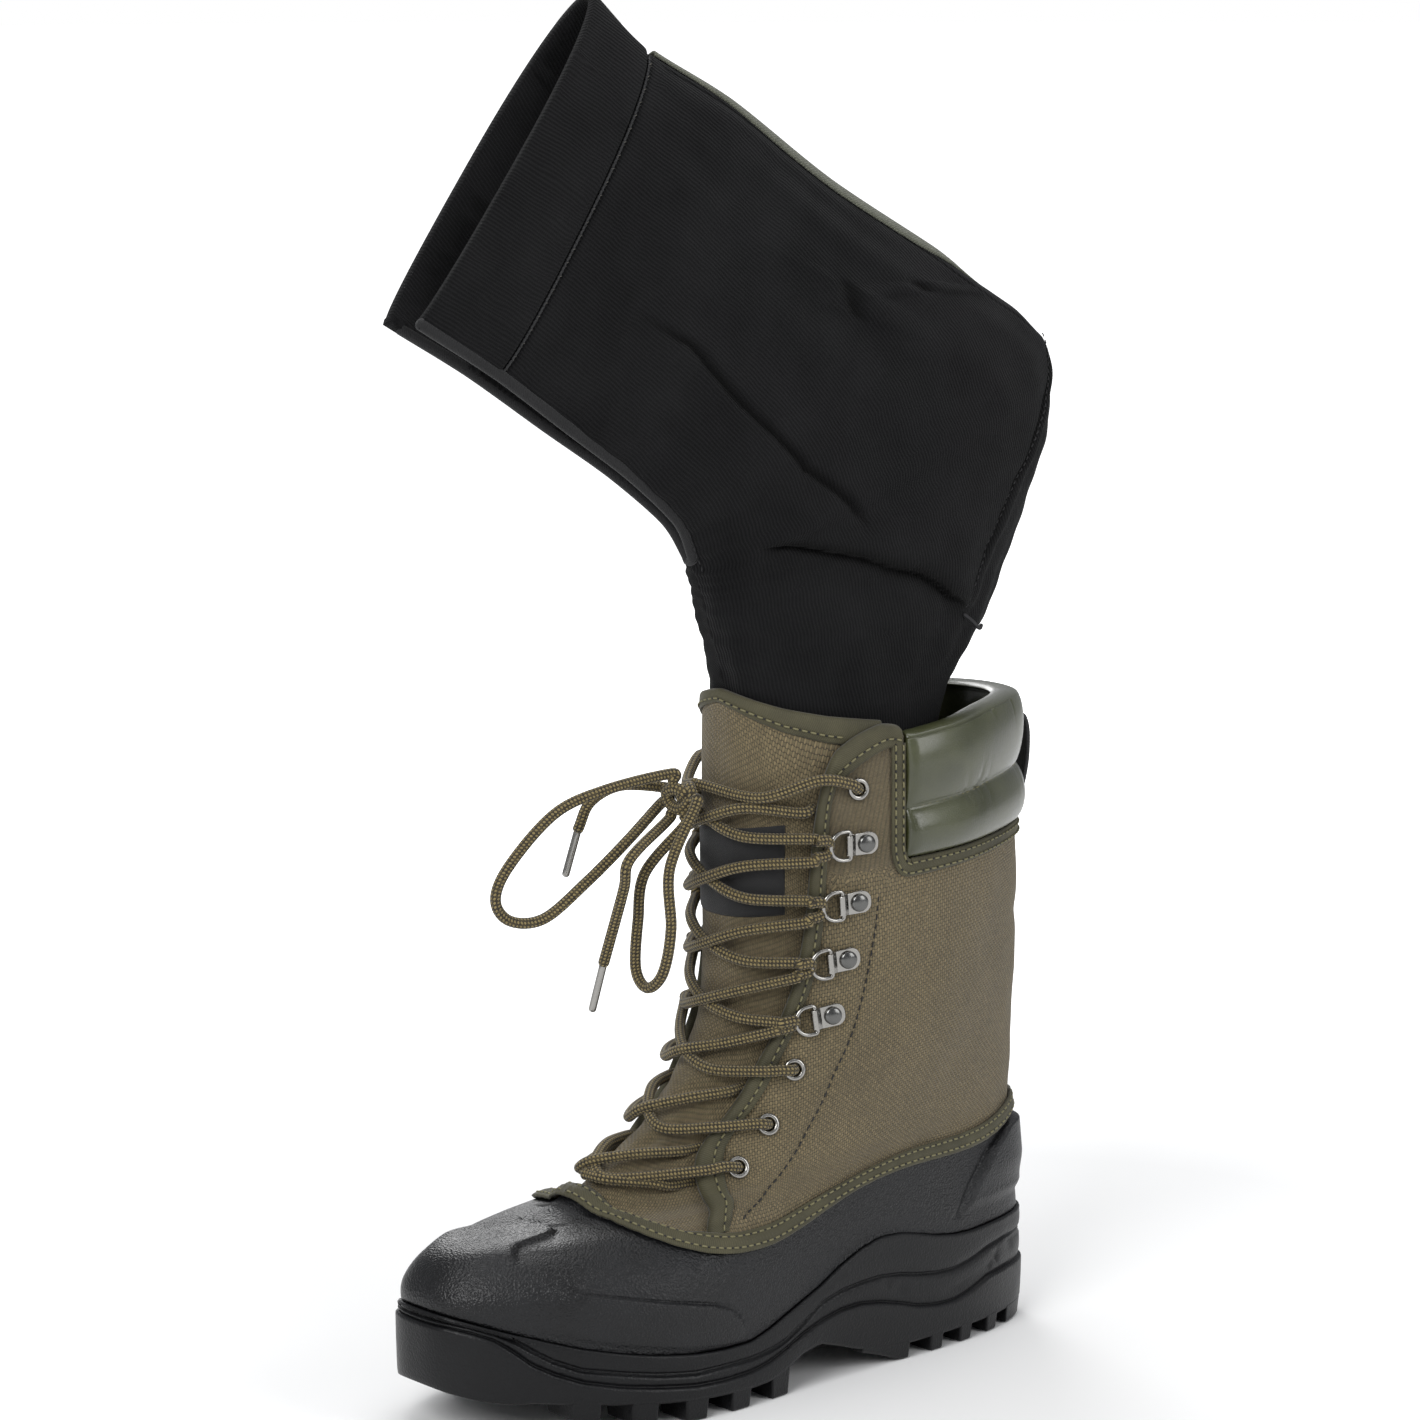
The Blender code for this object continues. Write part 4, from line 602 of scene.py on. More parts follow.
# Shell
# Injection-moulded rubber galosh, 3 mm thick. The mould cut a toe cap whose middle runs up as a finger between
# two fingers of the vamp, a leaf on each side that stands a little proud, a ribbed strip under the tape, and the
# kick flange at the heel. The toe and the leaf are pebbled, the rest is smooth.
SHELL_TAPE = np.array([
    (0.000, 5.36, 5.72), (0.040, 5.25, 5.63), (0.075, 4.87, 5.29), (0.107, 4.377, 4.80), (0.138, 3.62, 4.13),
    (0.160, 3.02, 3.56), (0.176, 2.592, 3.14), (0.194, 2.237, 2.74), (0.213, 2.035, 2.56), (0.228, 2.054, 2.57),
    (0.251, 2.203, 2.80), (0.268, 2.66, 3.42), (0.285, 3.05, 3.87), (0.304, 3.25, 4.03), (0.328, 3.211, 3.90),
    (0.348, 3.12, 3.78), (0.372, 3.096, 3.72), (0.395, 3.16, 3.78), (0.433, 3.45, 4.06), (0.465, 3.60, 4.20),
    (0.500, 3.65, 4.25),
])
# the share of the tape's width at which the shell ends, then how far the mould's lines stand out or sink
MOUTH = 0.45
KICK_DEPTH = 0.0048
KICK_EDGE = 0.0012
CAP_STEP = 0.0010
CAP_GROOVE = 0.0007
LEAF_STEP = 0.0012
STRIP_RIB = 0.00028
# the kick flange's slanting front, the leaf's edge and the cap's edge, as (row, u), (u, row) and (row, u)
KICK_FRONT = np.array([(1.0, 0.3560), (1.446, 0.3601), (2.185, 0.3772), (2.81, 0.3968), (3.30, 0.4254),
                       (3.6, 0.445)])
LEAF_EDGE = np.array([(0.092, 2.42), (0.107, 2.164), (0.121, 1.887), (0.130, 1.687), (0.151, 1.447), (0.168, 1.257),
                      (0.1855, 1.093), (0.1986, 0.977), (0.2069, 0.848), (0.2121, 0.663), (0.2145, 0.40)])
CAP_EDGE = np.array([(2.3, 0.100), (2.75, 0.0835), (2.92, 0.0807), (3.07, 0.0769), (3.43, 0.0704), (3.75, 0.0752),
                     (3.88, 0.0784), (4.05, 0.0770), (4.22, 0.0700), (4.40, 0.0550), (4.52, 0.0400), (4.59, 0.0)])


def tape_row(u, share):
    """Row at a share of the tape's width over its lower edge, its table's corners rounded by a running mean."""
    near = [lateral(u + shift) for shift in (-0.018, -0.009, 0.0, 0.009, 0.018)]
    low, high = (np.mean([along(SHELL_TAPE, place, k) for place in near], axis=0) for k in (1, 2))
    return low + (high - low) * share


def shell_foot(u):
    """Row where the skin meets the rand's top, by halving."""
    low, high = np.zeros_like(u), np.full_like(u, 2.4)
    for _ in range(30):
        mid = (low + high) / 2
        p = outer(u, mid)
        below = p[..., 2] < sole_line(p[..., 1], RAND_TOP) + CLEAR
        low, high = np.where(below, mid, low), np.where(below, high, mid)
    return (low + high) / 2


def shell_relief(u, v):
    """Height of the moulding: cap and vamp as two levels either side of the cap's edge with a groove between,
    the leaf as a level under its edge, the kick flange as a pad whose front slopes."""
    s = lateral(u)
    front = along(KICK_FRONT, v)
    kick = ease(s, front - 0.001, front + 0.007) * ease(v, 1.48, 1.74) * ease(-v, -3.42, -3.22)
    kick = kick * (0.55 + 0.45 * ease(v, 1.7, 2.4)) * (0.6 + 0.4 * ease(s, 0.38, 0.46))
    edge = np.exp(-((s - front + 0.002) / 0.0028) ** 2) * ease(v, 1.35, 1.6) * ease(-v, -3.35, -3.1)
    cap = along(CAP_EDGE, v)
    inside = (cap - s) / 0.0042
    near = ease(v, 2.55, 3.0) * ease(-v, -4.80, -4.60)
    level = np.tanh(inside) * (s < 0.13) * near
    groove = np.exp(-(inside / 0.9) ** 2) * near
    fade = np.exp(-(np.abs(s - cap) / 0.035) ** 2)
    leaf_top = along(LEAF_EDGE, s)
    under = (leaf_top - v) / 0.055
    leaf = ease(s, 0.10, 0.14) * ease(-s, -0.2165, -0.210)
    leaf_step = 0.5 * (np.tanh(under) + 1) * leaf
    crease = np.exp(-((v - leaf_top) / 0.030) ** 2) * leaf
    strip = between(v, tape_row(u, -0.55), tape_row(u, -0.02), 0.04) * ease(-s, -0.115, -0.100)
    ribs = strip * np.sin(2 * np.pi * s * 190)
    return (KICK_DEPTH * kick - KICK_EDGE * edge + CAP_STEP * level * fade - CAP_GROOVE * groove
            + LEAF_STEP * (leaf_step - crease) + STRIP_RIB * ribs)


def shell():
    """The skin from the rand to under the tape, set out by the relief, with its lip tucked on the rand."""
    count = 560
    u = np.arange(count) / count
    t = np.concatenate([np.linspace(0, 0.06, 5)[:-1], np.linspace(0.06, 1.0, 100)])
    foot = shell_foot(u)[:, None]
    mouth = tape_row(u, MOUTH)[:, None]
    v = foot + (mouth - foot) * t[None]
    uu = np.repeat(u[:, None], len(t), 1)
    fade = (ease(t, 0.0, 0.05) * ease(-t, -1.0, -0.93))[None]
    points = skin(uu, v, shell_relief(uu, v) * fade)
    seat = outline_ring(count, 0.0)
    points[:, 0] = np.column_stack([seat, sole_line(seat[:, 1], RAND_TOP) + CLEAR])
    return lighten(surface("rubber_shell", points, wrap=True, wall=SHELL_WALL), 0.5)


finish(shell(), rubber("satin pebbled rubber", "0b0b0d", "191a1d", 1.0, 0.40), "rubber_shell", "shell")


# Canvas
# Coarse plain-woven nylon, brown warp over olive weft, backed with foam: the tongue and vamp are one piece, the
# quarters run in one piece round the back to the two eyelet fronts, cut with an ear at the top.
CLOTH_WALL = 0.0026
TONGUE_WALL = 0.0024
THREAD = 0.00120
THROAT_TAPE = np.array([
    (11.43, 0.1408, 0.1508), (11.22, 0.138, 0.1505), (10.31, 0.129, 0.1446), (9.79, 0.1222, 0.139),
    (9.30, 0.115, 0.132), (8.86, 0.1100, 0.128), (8.40, 0.1096, 0.1285), (7.92, 0.1112, 0.131),
    (7.25, 0.1155, 0.1355), (6.40, 0.1180, 0.1385), (5.75, 0.1345, 0.1520), (5.30, 0.148, 0.1640),
    (4.68, 0.166, 0.1790), (3.90, 0.1850, 0.1975), (3.20, 0.1945, 0.2060), (2.80, 0.1985, 0.2090),
])
EAR_TOP = np.array([(0.1408, 11.44), (0.1567, 11.56), (0.1776, 11.70), (0.1995, 11.795), (0.2114, 11.85),
                    (0.2245, 11.76), (0.3, 11.76)])
TONGUE_TOP = np.array([(0.0, 12.30), (0.05, 12.16), (0.10, 12.02), (0.15, 11.92), (0.215, 11.84)])
EYESTAY = np.array([(10.45, 0.2000), (10.311, 0.1997), (9.893, 0.1936), (9.005, 0.1873), (7.912, 0.1909),
                    (7.345, 0.1905), (6.452, 0.1999), (5.673, 0.2063), (5.004, 0.2055), (3.493, 0.2183),
                    (2.847, 0.2130)])
BACK_EDGE = 10.68
# the quarter's cut edge and foot, and the tongue's foot, as shares of the widths of the tapes that cover them
FRONT_CUT = 0.55
CLOTH_FOOT = 0.62
TONGUE_FOOT = 0.22
TONGUE_SPAN = 0.215
TONGUE_LOW = -(CLOTH_WALL + 4 * CLEAR)
EYELETS = {"1": (0.1787, 11.369), "6": (0.1508, 7.727), "7": (0.1637, 6.498), "8": (0.1681, 5.519)}
CLIPS = {"2": (0.1848, 10.936), "3": (0.1779, 10.413), "4": (0.1684, 9.797), "5": (0.1611, 8.854)}
EAR_EDGE = 0.2245
EYELET_BORE = 0.0027
EYELET_TUBE = 0.0006


def throat(v, share):
    """u at a share of the front tape's width, from the throat's side."""
    a, b = along(THROAT_TAPE, v, 1), along(THROAT_TAPE, v, 2)
    return a + (b - a) * share


def interlace(tree, a, b, low):
    """Threads over and under by turns at the places a and b, counted in threads: a checker says which is on top,
    the sine of the place across that thread gives its round back, which dips to low at the crossings, and noise
    in thread-sized cells gives each its own tint."""
    across = [math_node(tree, "ABSOLUTE", math_node(tree, "SINE", math_node(tree, "MULTIPLY", x, math.pi)))
              for x in (a, b)]
    cell = add_node(tree, "CombineXYZ", X=a, Y=b, Z=0.5).outputs[0]
    over = add_node(tree, "TexChecker", Vector=cell, Scale=1.0, Color1=(1, 1, 1, 1),
                    Color2=(0, 0, 0, 1)).outputs[1]
    back, lay = (add_node(tree, "Mix", {"data_type": "FLOAT"}, {0: over, 2: first, 3: second}).outputs[0]
                 for first, second in (across, across[::-1]))
    height = math_node(tree, "MULTIPLY", back, span(tree, lay, 0.0, 1.0, low, 1.0))
    whole = add_node(tree, "VectorMath", {"operation": "FLOOR"}, Vector=cell).outputs[0]
    tint = add_node(tree, "TexWhiteNoise", {"noise_dimensions": "2D"}, Vector=whole).outputs[0]
    return over, height, tint


def plain_weave_group():
    """Plain weave on the UV map, its threads a little wavy, each tinted by itself and all clouded together."""
    group, given, out = start_group("plain weave", ("Warp", "Weft", "Gap"), ("Pitch",), ("Height",))
    cut = add_node(group, "UVMap", {"uv_map": "cut"}).outputs[0]
    warpy = add_node(group, "TexNoise", Vector=cut, Scale=40.0, Detail=1.0).outputs[0]
    moved = add_node(group, "VectorMath", {"operation": "SCALE"}, Vector=cut,
                     Scale=math_node(group, "DIVIDE", 1.0, given["Pitch"])).outputs[0]
    parts = add_node(group, "SeparateXYZ", Vector=moved).outputs
    shift = math_node(group, "MULTIPLY", warpy, 0.7)
    a, b = (math_node(group, "ADD", part, shift) for part in parts[:2])
    over, height, tint = interlace(group, a, b, 0.55)
    place = add_node(group, "TexCoord").outputs["Object"]
    cloud = add_node(group, "TexNoise", Vector=place, Scale=26.0, Detail=4.0).outputs[0]
    threads = blend_colours(group, over, given["Warp"], given["Weft"])
    level = math_node(group, "ADD", span(group, tint, 0.0, 1.0, 0.82, 1.16),
                      span(group, cloud, 0.3, 0.7, -0.10, 0.10))
    lit = add_node(group, "VectorMath", {"operation": "SCALE"}, Vector=threads, Scale=level).outputs[0]
    raised = span(group, height, 0.12, 0.5, 0.0, 1.0)
    group.links.new(blend_colours(group, raised, given["Gap"], lit), out["Colour"])
    group.links.new(height, out["Height"])
    return group


PLAIN_WEAVE = plain_weave_group()


def woven(name, warp, weft, gap, pitch, deep=0.00035, rough=0.85):
    """Plain-woven cloth of two thread colours over dark gaps."""
    material, tree, shader = start_material(name, rough, Sheen_Weight=0.15, Sheen_Roughness=0.5)
    made = add_node(tree, "Group", {"node_tree": PLAIN_WEAVE}, Pitch=pitch, Warp=shade(warp), Weft=shade(weft),
                    Gap=shade(gap))
    tree.links.new(made.outputs["Colour"], shader.inputs["Base Color"])
    bump(tree, shader, made.outputs["Height"], deep, 0.9)
    return material


CANVAS = woven("coarse brown canvas", "796b4e", "655b42", "312b1e", THREAD)


def quarters():
    """The skin between the throat line and the back, down to the tape and up to the collar's seat or the ear's
    outline; it puffs between its seams and draws in along them, by a few tenths of a millimetre."""
    across, up = 200, 190
    foot_u = throat(2.95, 0.6)
    mouth = tape_row(foot_u, CLOTH_FOOT)
    share = np.linspace(0, 1, across)
    t = np.linspace(0, 1, up)
    half = np.zeros((across, up, 2))
    front = throat(mouth + (BACK_EDGE - mouth) * t, FRONT_CUT)
    for i, s in enumerate(share):
        half[i, :, 0] = front + (0.5 - front) * s
        foot = tape_row(half[i, 0, 0], CLOTH_FOOT)
        half[i, :, 1] = foot + (BACK_EDGE - foot) * t
    ear_t = np.linspace(0, 1, 28)[1:]
    seat = throat(BACK_EDGE, FRONT_CUT)
    edge = (EAR_EDGE - seat) / (0.5 - seat)
    tip = throat(11.44, FRONT_CUT)
    ear_cells = int(np.argmin(np.abs(share - edge)))
    ear = np.zeros((across, len(ear_t), 2))
    for i in range(across):
        lift = min(i / ear_cells, 1.0)
        top_u = tip + (EAR_EDGE - tip) * lift
        base_u = half[i, -1, 0]
        ear[i, :, 0] = base_u + (top_u - base_u) * ear_t
        ear[i, :, 1] = BACK_EDGE + (along(EAR_TOP, top_u) - BACK_EDGE) * ear_t
    half = np.concatenate([half, ear], 1)
    other = half[:-1][::-1].copy()
    other[..., 0] = 1 - other[..., 0]
    full = np.concatenate([half, other])
    n = len(full)
    u, v = full[..., 0], full[..., 1]
    puff = 0.0004 * wobble(u.shape, 11, 90, 45)
    side = lateral(u)
    seam = 0.0005 * np.exp(-((side - along(EYESTAY, v)) / 0.0028) ** 2) * (v < 10.4)
    fold = 0.0007 * np.exp(-((v - 9.0 - 3 * np.abs(side - 0.36)) / 0.28) ** 2) * ease(side, 0.24, 0.40)
    hang = between(side, throat(v, 1.1), 2.0, 0.01) * ease(v, tape_row(u, CLOTH_FOOT), tape_row(u, 1.15))
    points = skin(u, v, (puff - seam - fold) * hang)

    def keep(i, j):
        return (j < up - 1) | (i < ear_cells) | (i >= n - 1 - ear_cells)
    piece = surface("canvas_quarters", points, wall=CLOTH_WALL, keep=keep, cut=on_cloth(points, n // 2))
    lighten(piece, 0.40)
    bore = piece.modifiers.new("eyelet holes", "BOOLEAN")
    bore.operation = "DIFFERENCE"
    bore.solver = "EXACT"
    bore.object = eyelet_punch()
    bpy.context.view_layer.objects.active = piece
    for step in list(piece.modifiers):
        bpy.ops.object.modifier_apply(modifier=step.name)
    bpy.data.objects.remove(bpy.data.objects["punch"], do_unlink=True)
    return piece


def eyelet_punch():
    """Round punches through the cloth, one at each eyelet."""
    sides = 24
    w = 2 * np.pi * np.arange(sides) / sides
    points, faces = [], []
    for u0, v0 in EYELETS.values():
        for place in (u0, 1 - u0):
            p, a, b, n = frame_at(place, v0)
            ring = (EYELET_BORE + EYELET_TUBE + CLEAR) * (np.cos(w)[:, None] * a + np.sin(w)[:, None] * b)
            base = len(points)
            points += list(p + ring - 0.008 * n) + list(p + ring + 0.008 * n)
            faces += [tuple(base + k for k in reversed(range(sides))),
                      tuple(base + sides + k for k in range(sides))]
            faces += [(base + k, base + (k + 1) % sides, base + sides + (k + 1) % sides, base + sides + k)
                      for k in range(sides)]
    return mesh_from("punch", points, faces)


finish(quarters(), CANVAS, "canvas", "quarters")


def tongue():
    """The skin under the quarters, from inside the shell's mouth to the curved top; the vamp wrinkles where the foot
    bends."""
    across, up = 200, 230
    t = np.linspace(0, 1, up)
    s = np.linspace(-1, 1, across)
    u, v = np.zeros((across, up)), np.zeros((across, up))
    for i, share in enumerate(s):
        top = along(TONGUE_TOP, abs(share) * TONGUE_SPAN)
        guess = abs(share) * 0.19
        for _ in range(12):
            low = tape_row(np.array(guess), TONGUE_FOOT)
            guess = abs(share) * tongue_edge(low)
        v[i] = low + (top - low) * t
        u[i] = share * tongue_edge(v[i])
    tuck = -(SHELL_WALL + 7 * CLEAR)
    deep = tuck + (TONGUE_LOW - tuck) * ease(v, tape_row(u, 0.78), tape_row(u, 1.05))
    open_part = ease(-np.abs(u), -throat(v, 0.0), -throat(v, -0.8))
    waves = 0.0005 * np.sin(2 * np.pi * (v - 0.6 * np.abs(u) / 0.1) / 0.83) * between(v, 4.6, 8.6, 1.2)
    puff = 0.0003 * wobble(u.shape, 5, 60, 34)
    points = skin(np.mod(u, 1.0), v, deep + (waves + puff) * open_part)
    piece = surface("canvas_tongue", points, wall=TONGUE_WALL, cut=on_cloth(points, across // 2))
    return lighten(piece, 0.40)


def tongue_edge(v):
    """Half span of the tongue and its gusset, under the quarters."""
    return np.minimum(throat(v, 0.5) + 0.030, TONGUE_SPAN)


finish(tongue(), CANVAS, "canvas", "tongue")


def label():
    """The woven label's place on the tongue: a plain black patch, left bare, sewn on under the laces."""
    s = np.linspace(-0.060, 0.1055, 60)
    t = np.linspace(0, 1, 30)
    low, high = 10.36 + 0 * s, 11.05 + 0.42 * (s + 0.06)
    v = low[:, None] + (high - low)[:, None] * t
    edge = np.minimum(between(s, -0.0601, 0.1056, 0.006)[:, None], between(t, -0.001, 1.001, 0.05)[None])
    off = TONGUE_LOW + 0.0003 + 0.0006 * edge
    points = skin(np.mod(np.repeat(s[:, None], 30, 1), 1.0), v, off)
    return surface("bare_label", points, wall=0.0003)


finish(label(), woven("black woven label", "161618", "111113", "070708", 0.0006, 0.0001, 0.7), "black_web")


# Tapes
# Olive twill tape 10 to 14 mm wide: over the joint of shell and cloth, folded over both front edges, along the
# tongue's top, and round the collar's seat. Each is sewn with two rows of olive thread.
TAPE_WALL = 0.0013
STITCH = 0.0030
STITCH_STEP = 0.0040
THREAD_SIZE = 0.00042


def twill_group():
    """Fine diagonal twill on the UV map: a sine wave over the sum of both directions, broken by noise."""
    group, given, out = start_group("twill tape", ("High", "Low"), ("Pitch",), ("Height",))
    cut = add_node(group, "UVMap", {"uv_map": "cut"}).outputs[0]
    parts = add_node(group, "SeparateXYZ", Vector=cut).outputs
    both = math_node(group, "ADD", parts[0], math_node(group, "MULTIPLY", parts[1], 0.8))
    turn = math_node(group, "MULTIPLY", math_node(group, "DIVIDE", both, given["Pitch"]), 2 * math.pi)
    wave = span(group, math_node(group, "SINE", turn), -1.0, 1.0, 0.0, 1.0)
    place = add_node(group, "TexCoord").outputs["Object"]
    fuzz = add_node(group, "TexNoise", Vector=place, Scale=1400.0, Detail=3.0).outputs[0]
    soil = add_node(group, "TexNoise", Vector=place, Scale=60.0, Detail=4.0).outputs[0]
    height = math_node(group, "MULTIPLY", wave, span(group, fuzz, 0.3, 0.7, 0.6, 1.0))
    mask = math_node(group, "ADD", math_node(group, "MULTIPLY", height, 0.6),
                     span(group, soil, 0.3, 0.7, -0.1, 0.45))
    group.links.new(blend_colours(group, mask, given["Low"], given["High"]), out["Colour"])
    group.links.new(height, out["Height"])
    return group


TWILL = twill_group()


def tape_cloth(name, high, low, pitch=0.0009, rough=0.72):
    """Twill tape between the colours of its ridges and of its furrows."""
    material, tree, shader = start_material(name, rough, Sheen_Weight=0.12, Sheen_Roughness=0.4)
    made = add_node(tree, "Group", {"node_tree": TWILL}, Pitch=pitch, High=shade(high), Low=shade(low))
    tree.links.new(made.outputs["Colour"], shader.inputs["Base Color"])
    bump(tree, shader, made.outputs["Height"], 0.0002, 0.7)
    return material


def sewing_thread(name, tone, rough=0.6):
    """Thread of one plain colour."""
    material, _, shader = start_material(name, rough)
    shader.inputs["Base Color"].default_value = shade(tone)
    return material


TAPE = tape_cloth("olive twill tape", "545038", "343120")
OLIVE_THREAD = sewing_thread("olive sewing thread", "757050")
# black thread, also used for the short dark threads that are painted shade in the needle holes
DARK_THREAD_AND_HOLE_SHADE = sewing_thread("black thread and painted hole shade", "18181a")


def skin_line(u, v, off):
    """Points on the skin at a distance, with its normals."""
    point, _, _, normal = frame_at(np.mod(u, 1.0), v)
    return point + normal * np.asarray(off)[..., None], normal


def stitches(name, rows, step=STITCH_STEP, long=STITCH, size=THREAD_SIZE, sink=0.35, start=0.5):
    """Stitches as short threads that dive at both ends: along each line (points, normals) one every step, each a
    six-sided tube over seven rings whose middle stands on the line and whose ends sink under it."""
    k = np.linspace(-1, 1, 7)
    w = 2 * np.pi * np.arange(6) / 6
    grids = []
    for points, normals in rows:
        run = np.concatenate([[0], np.cumsum(np.linalg.norm(np.diff(points, axis=0), axis=1))])
        count = int(run[-1] // step)
        if count < 1:
            continue
        centre = (np.arange(count) + start) * step
        at = centre[:, None] + k[None] * long / 2
        p = np.stack([np.interp(at, run, points[:, c]) for c in range(3)], -1)
        n = unit(np.stack([np.interp(at, run, normals[:, c]) for c in range(3)], -1))
        t = unit(np.gradient(p, axis=1))
        side = np.cross(t, n)
        swell = np.sqrt(np.clip(1 - k ** 6, 0.05, 1))[None, :, None, None]
        lift = (size * (1 - 2.2 * np.abs(k) ** 5) * (1 - sink))[None, :, None]
        ring = (side[:, :, None] * np.cos(w)[None, None, :, None]
                + n[:, :, None] * np.sin(w)[None, None, :, None])
        grids.append((p + n * lift)[:, :, None] + ring * size * swell)
    g = np.concatenate(grids)
    base = np.arange(len(g))[:, None, None] * len(k) * len(w)
    i, j = np.meshgrid(np.arange(6), np.arange(6), indexing="ij")
    here, nearby = i * 6 + j, i * 6 + (j + 1) % 6
    quads = np.stack([here, nearby, nearby + 6, here + 6], -1).reshape(-1, 4)
    caps = np.array([[0, 1, 2, 3], [0, 3, 4, 5], [39, 38, 37, 36], [41, 40, 39, 36]])
    faces = (base + np.concatenate([quads, caps])[None]).reshape(-1, 4)
    piece = mesh_from(name, g.reshape(-1, 3), faces.tolist())
    return tidy(piece, outward=True)


def tape_seat(u, s):
    """How far the shell tape's outside stands off the skin at the share s of its width: raised by the shell's lip
    at the toe, and let down above it by the cloth's wall where the quarters have ended."""
    lip = ease(-lateral(u), -0.10, -0.06) * 0.0008
    front = between(lateral(u), -1.0, 0.195, 0.02)
    return TAPE_WALL + CLEAR + lip * (1 - ease(s, 0.5, 0.75)) - CLOTH_WALL * front * ease(s, 0.72, 1.0)


def shell_binding():
    """The tape over the shell's lip: its lower half lies on the rubber, its upper half on the cloth."""
    u = np.arange(480) / 480
    rows = []
    for s in np.linspace(0, 1, 15):
        crown = 0.0005 * (1 - abs(2 * s - 1) ** 6) + 0.0004 * (1 - ease(s, 0.5, 0.75))
        ripple = 0.00012 * np.sin(2 * np.pi * u * 60 + 5 * s)
        rows.append(skin_line(u, tape_row(u, s), tape_seat(u, s) + crown + ripple)[0])
    return surface("shell_tape", np.stack(rows, 1), wrap=True, wall=TAPE_WALL)


def binding_stitches():
    """Two rows round the shell's tape."""
    u = np.linspace(0, 1, 900)
    return [skin_line(u, tape_row(u, s), tape_seat(u, s) + more) for s, more in ((0.24, 0.0008), (0.78, 0.0003))]


def sew(name, rows, slot="tape"):
    """A row of olive stitches with painted shade of the needle holes between them: short dark threads sunk between
    the stitches.
    """
    finish(stitches(name, rows), OLIVE_THREAD, slot)
    # painted shade: short dark threads sunk between the stitches stand for the shade in the needle holes
    finish(stitches(name + "_holes", rows, long=0.0013, size=0.00036, sink=0.55, start=0.0), DARK_THREAD_AND_HOLE_SHADE, slot)


finish(shell_binding(), TAPE, "tape", "shell_binding")
sew("shell_tape_stitches", binding_stitches())


def throat_path():
    """u of both edges and rows down the quarter's front, from the shell's tape up round the ear."""
    v = np.linspace(2.62, 11.43, 150)
    top_u = np.linspace(0.1500, EAR_EDGE - 0.001, 40)
    top_v = along(EAR_TOP, top_u)
    a = np.concatenate([throat(v, 0.0), top_u - 0.0035 + 0.0030 * ease(top_u, 0.2, EAR_EDGE)])
    va = np.concatenate([v, top_v + 0.05])
    b = np.concatenate([throat(v, 1.0), top_u + 0.0015])
    vb = np.concatenate([v, top_v - 0.145])
    return (a, va), (b, vb)


def smooth_line(x, width=9):
    """A running mean that keeps the ends."""
    pad = width // 2
    full = np.concatenate([np.full(pad, x[0]), x, np.full(pad, x[-1])])
    return np.convolve(full, np.ones(width) / width, "valid")


def throat_binding(name, mirror):
    """The folded tape: a roll over the cut edge that thins toward its stitched side."""
    (a, va), (b, vb) = throat_path()
    a, va, b, vb = (smooth_line(x, 13) for x in (a, va, b, vb))
    rows = []
    for s, out in zip((-0.10, -0.06, 0.06, 0.25, 0.45, 0.65, 0.85, 1.0),
                      (-2.5, -0.9, 1.0, 1.55, 1.45, 1.2, 1.05, 0.75)):
        u = a + (b - a) * s
        v = va + (vb - va) * s
        u = 1 - u if mirror else u
        tuck = 0.0017 * ease(-v, -3.15, -2.80)
        rows.append(skin_line(u, v, 2 * CLEAR + out * 0.001 + 0.0002 - tuck)[0])
    grid = np.stack(rows, 1)
    return surface(name, grid if mirror else grid[::-1], wall=TAPE_WALL * 0.8)


def throat_stitches(mirror):
    """One row along the throat's tape."""
    (a, va), (b, vb) = throat_path()
    u, v = smooth_line(a + (b - a) * 0.62, 13), smooth_line(va + (vb - va) * 0.62, 13)
    return skin_line(1 - u if mirror else u, v, 2 * CLEAR + 0.0015 - 0.0017 * ease(-v, -3.15, -2.80))


for tape_name, mirrored in (("throat_binding_left", False), ("throat_binding_right", True)):
    finish(throat_binding("tape_" + tape_name, mirrored), TAPE, "tape", tape_name)
sew("throat_stitches", [throat_stitches(False), throat_stitches(True)])


def eyestay_rows():
    """The single dark row that holds the eyelet stay, outside the eyelets, on both sides."""
    v = np.linspace(2.95, 10.45, 300)
    u = smooth_line(along(EYESTAY, v), 31)
    return [skin_line(w, v, -0.0002) for w in (u, 1 - u)]


finish(stitches("eyestay_stitches", eyestay_rows(), long=0.0029, size=0.00036), DARK_THREAD_AND_HOLE_SHADE, "canvas")


def tongue_tape():
    """Tape folded over the tongue's top edge."""
    s = np.linspace(-1, 1, 161) * 0.206
    v = along(TONGUE_TOP, np.abs(s))
    base = -(CLOTH_WALL + 4 * CLEAR)
    rows = [skin_line(s, v + dv, base + out)[0] for dv, out in
            ((-0.20, 0.0006), (-0.18, 0.0011), (-0.10, 0.0013), (0.0, 0.0012), (0.045, 0.0005), (0.06, -0.0008),
             (0.045, -0.0026), (-0.08, -0.0036), (-0.16, -0.0036))]
    return surface("tape_tongue_top", np.stack(rows, 1), wall=0.0009)


def tongue_tape_stitches():
    """One row along the tape over the tongue's top edge."""
    s = np.linspace(-1, 1, 161) * 0.17
    return [skin_line(s, along(TONGUE_TOP, np.abs(s)) - 0.135, TONGUE_LOW + 0.0014)]


finish(tongue_tape(), TAPE, "tape", "tongue_binding")
sew("tongue_tape_stitches", tongue_tape_stitches())


# Collar
# Two foam rolls under a glossy dark olive coated cloth, quilted along one seam and turned over the top edge, so
# that the cover wrinkles beside the seam. A tape edges the cloth round it.
ROLL_OUT = 0.0048
ROLL_IN = 0.0092
COLLAR_LOW = 10.74


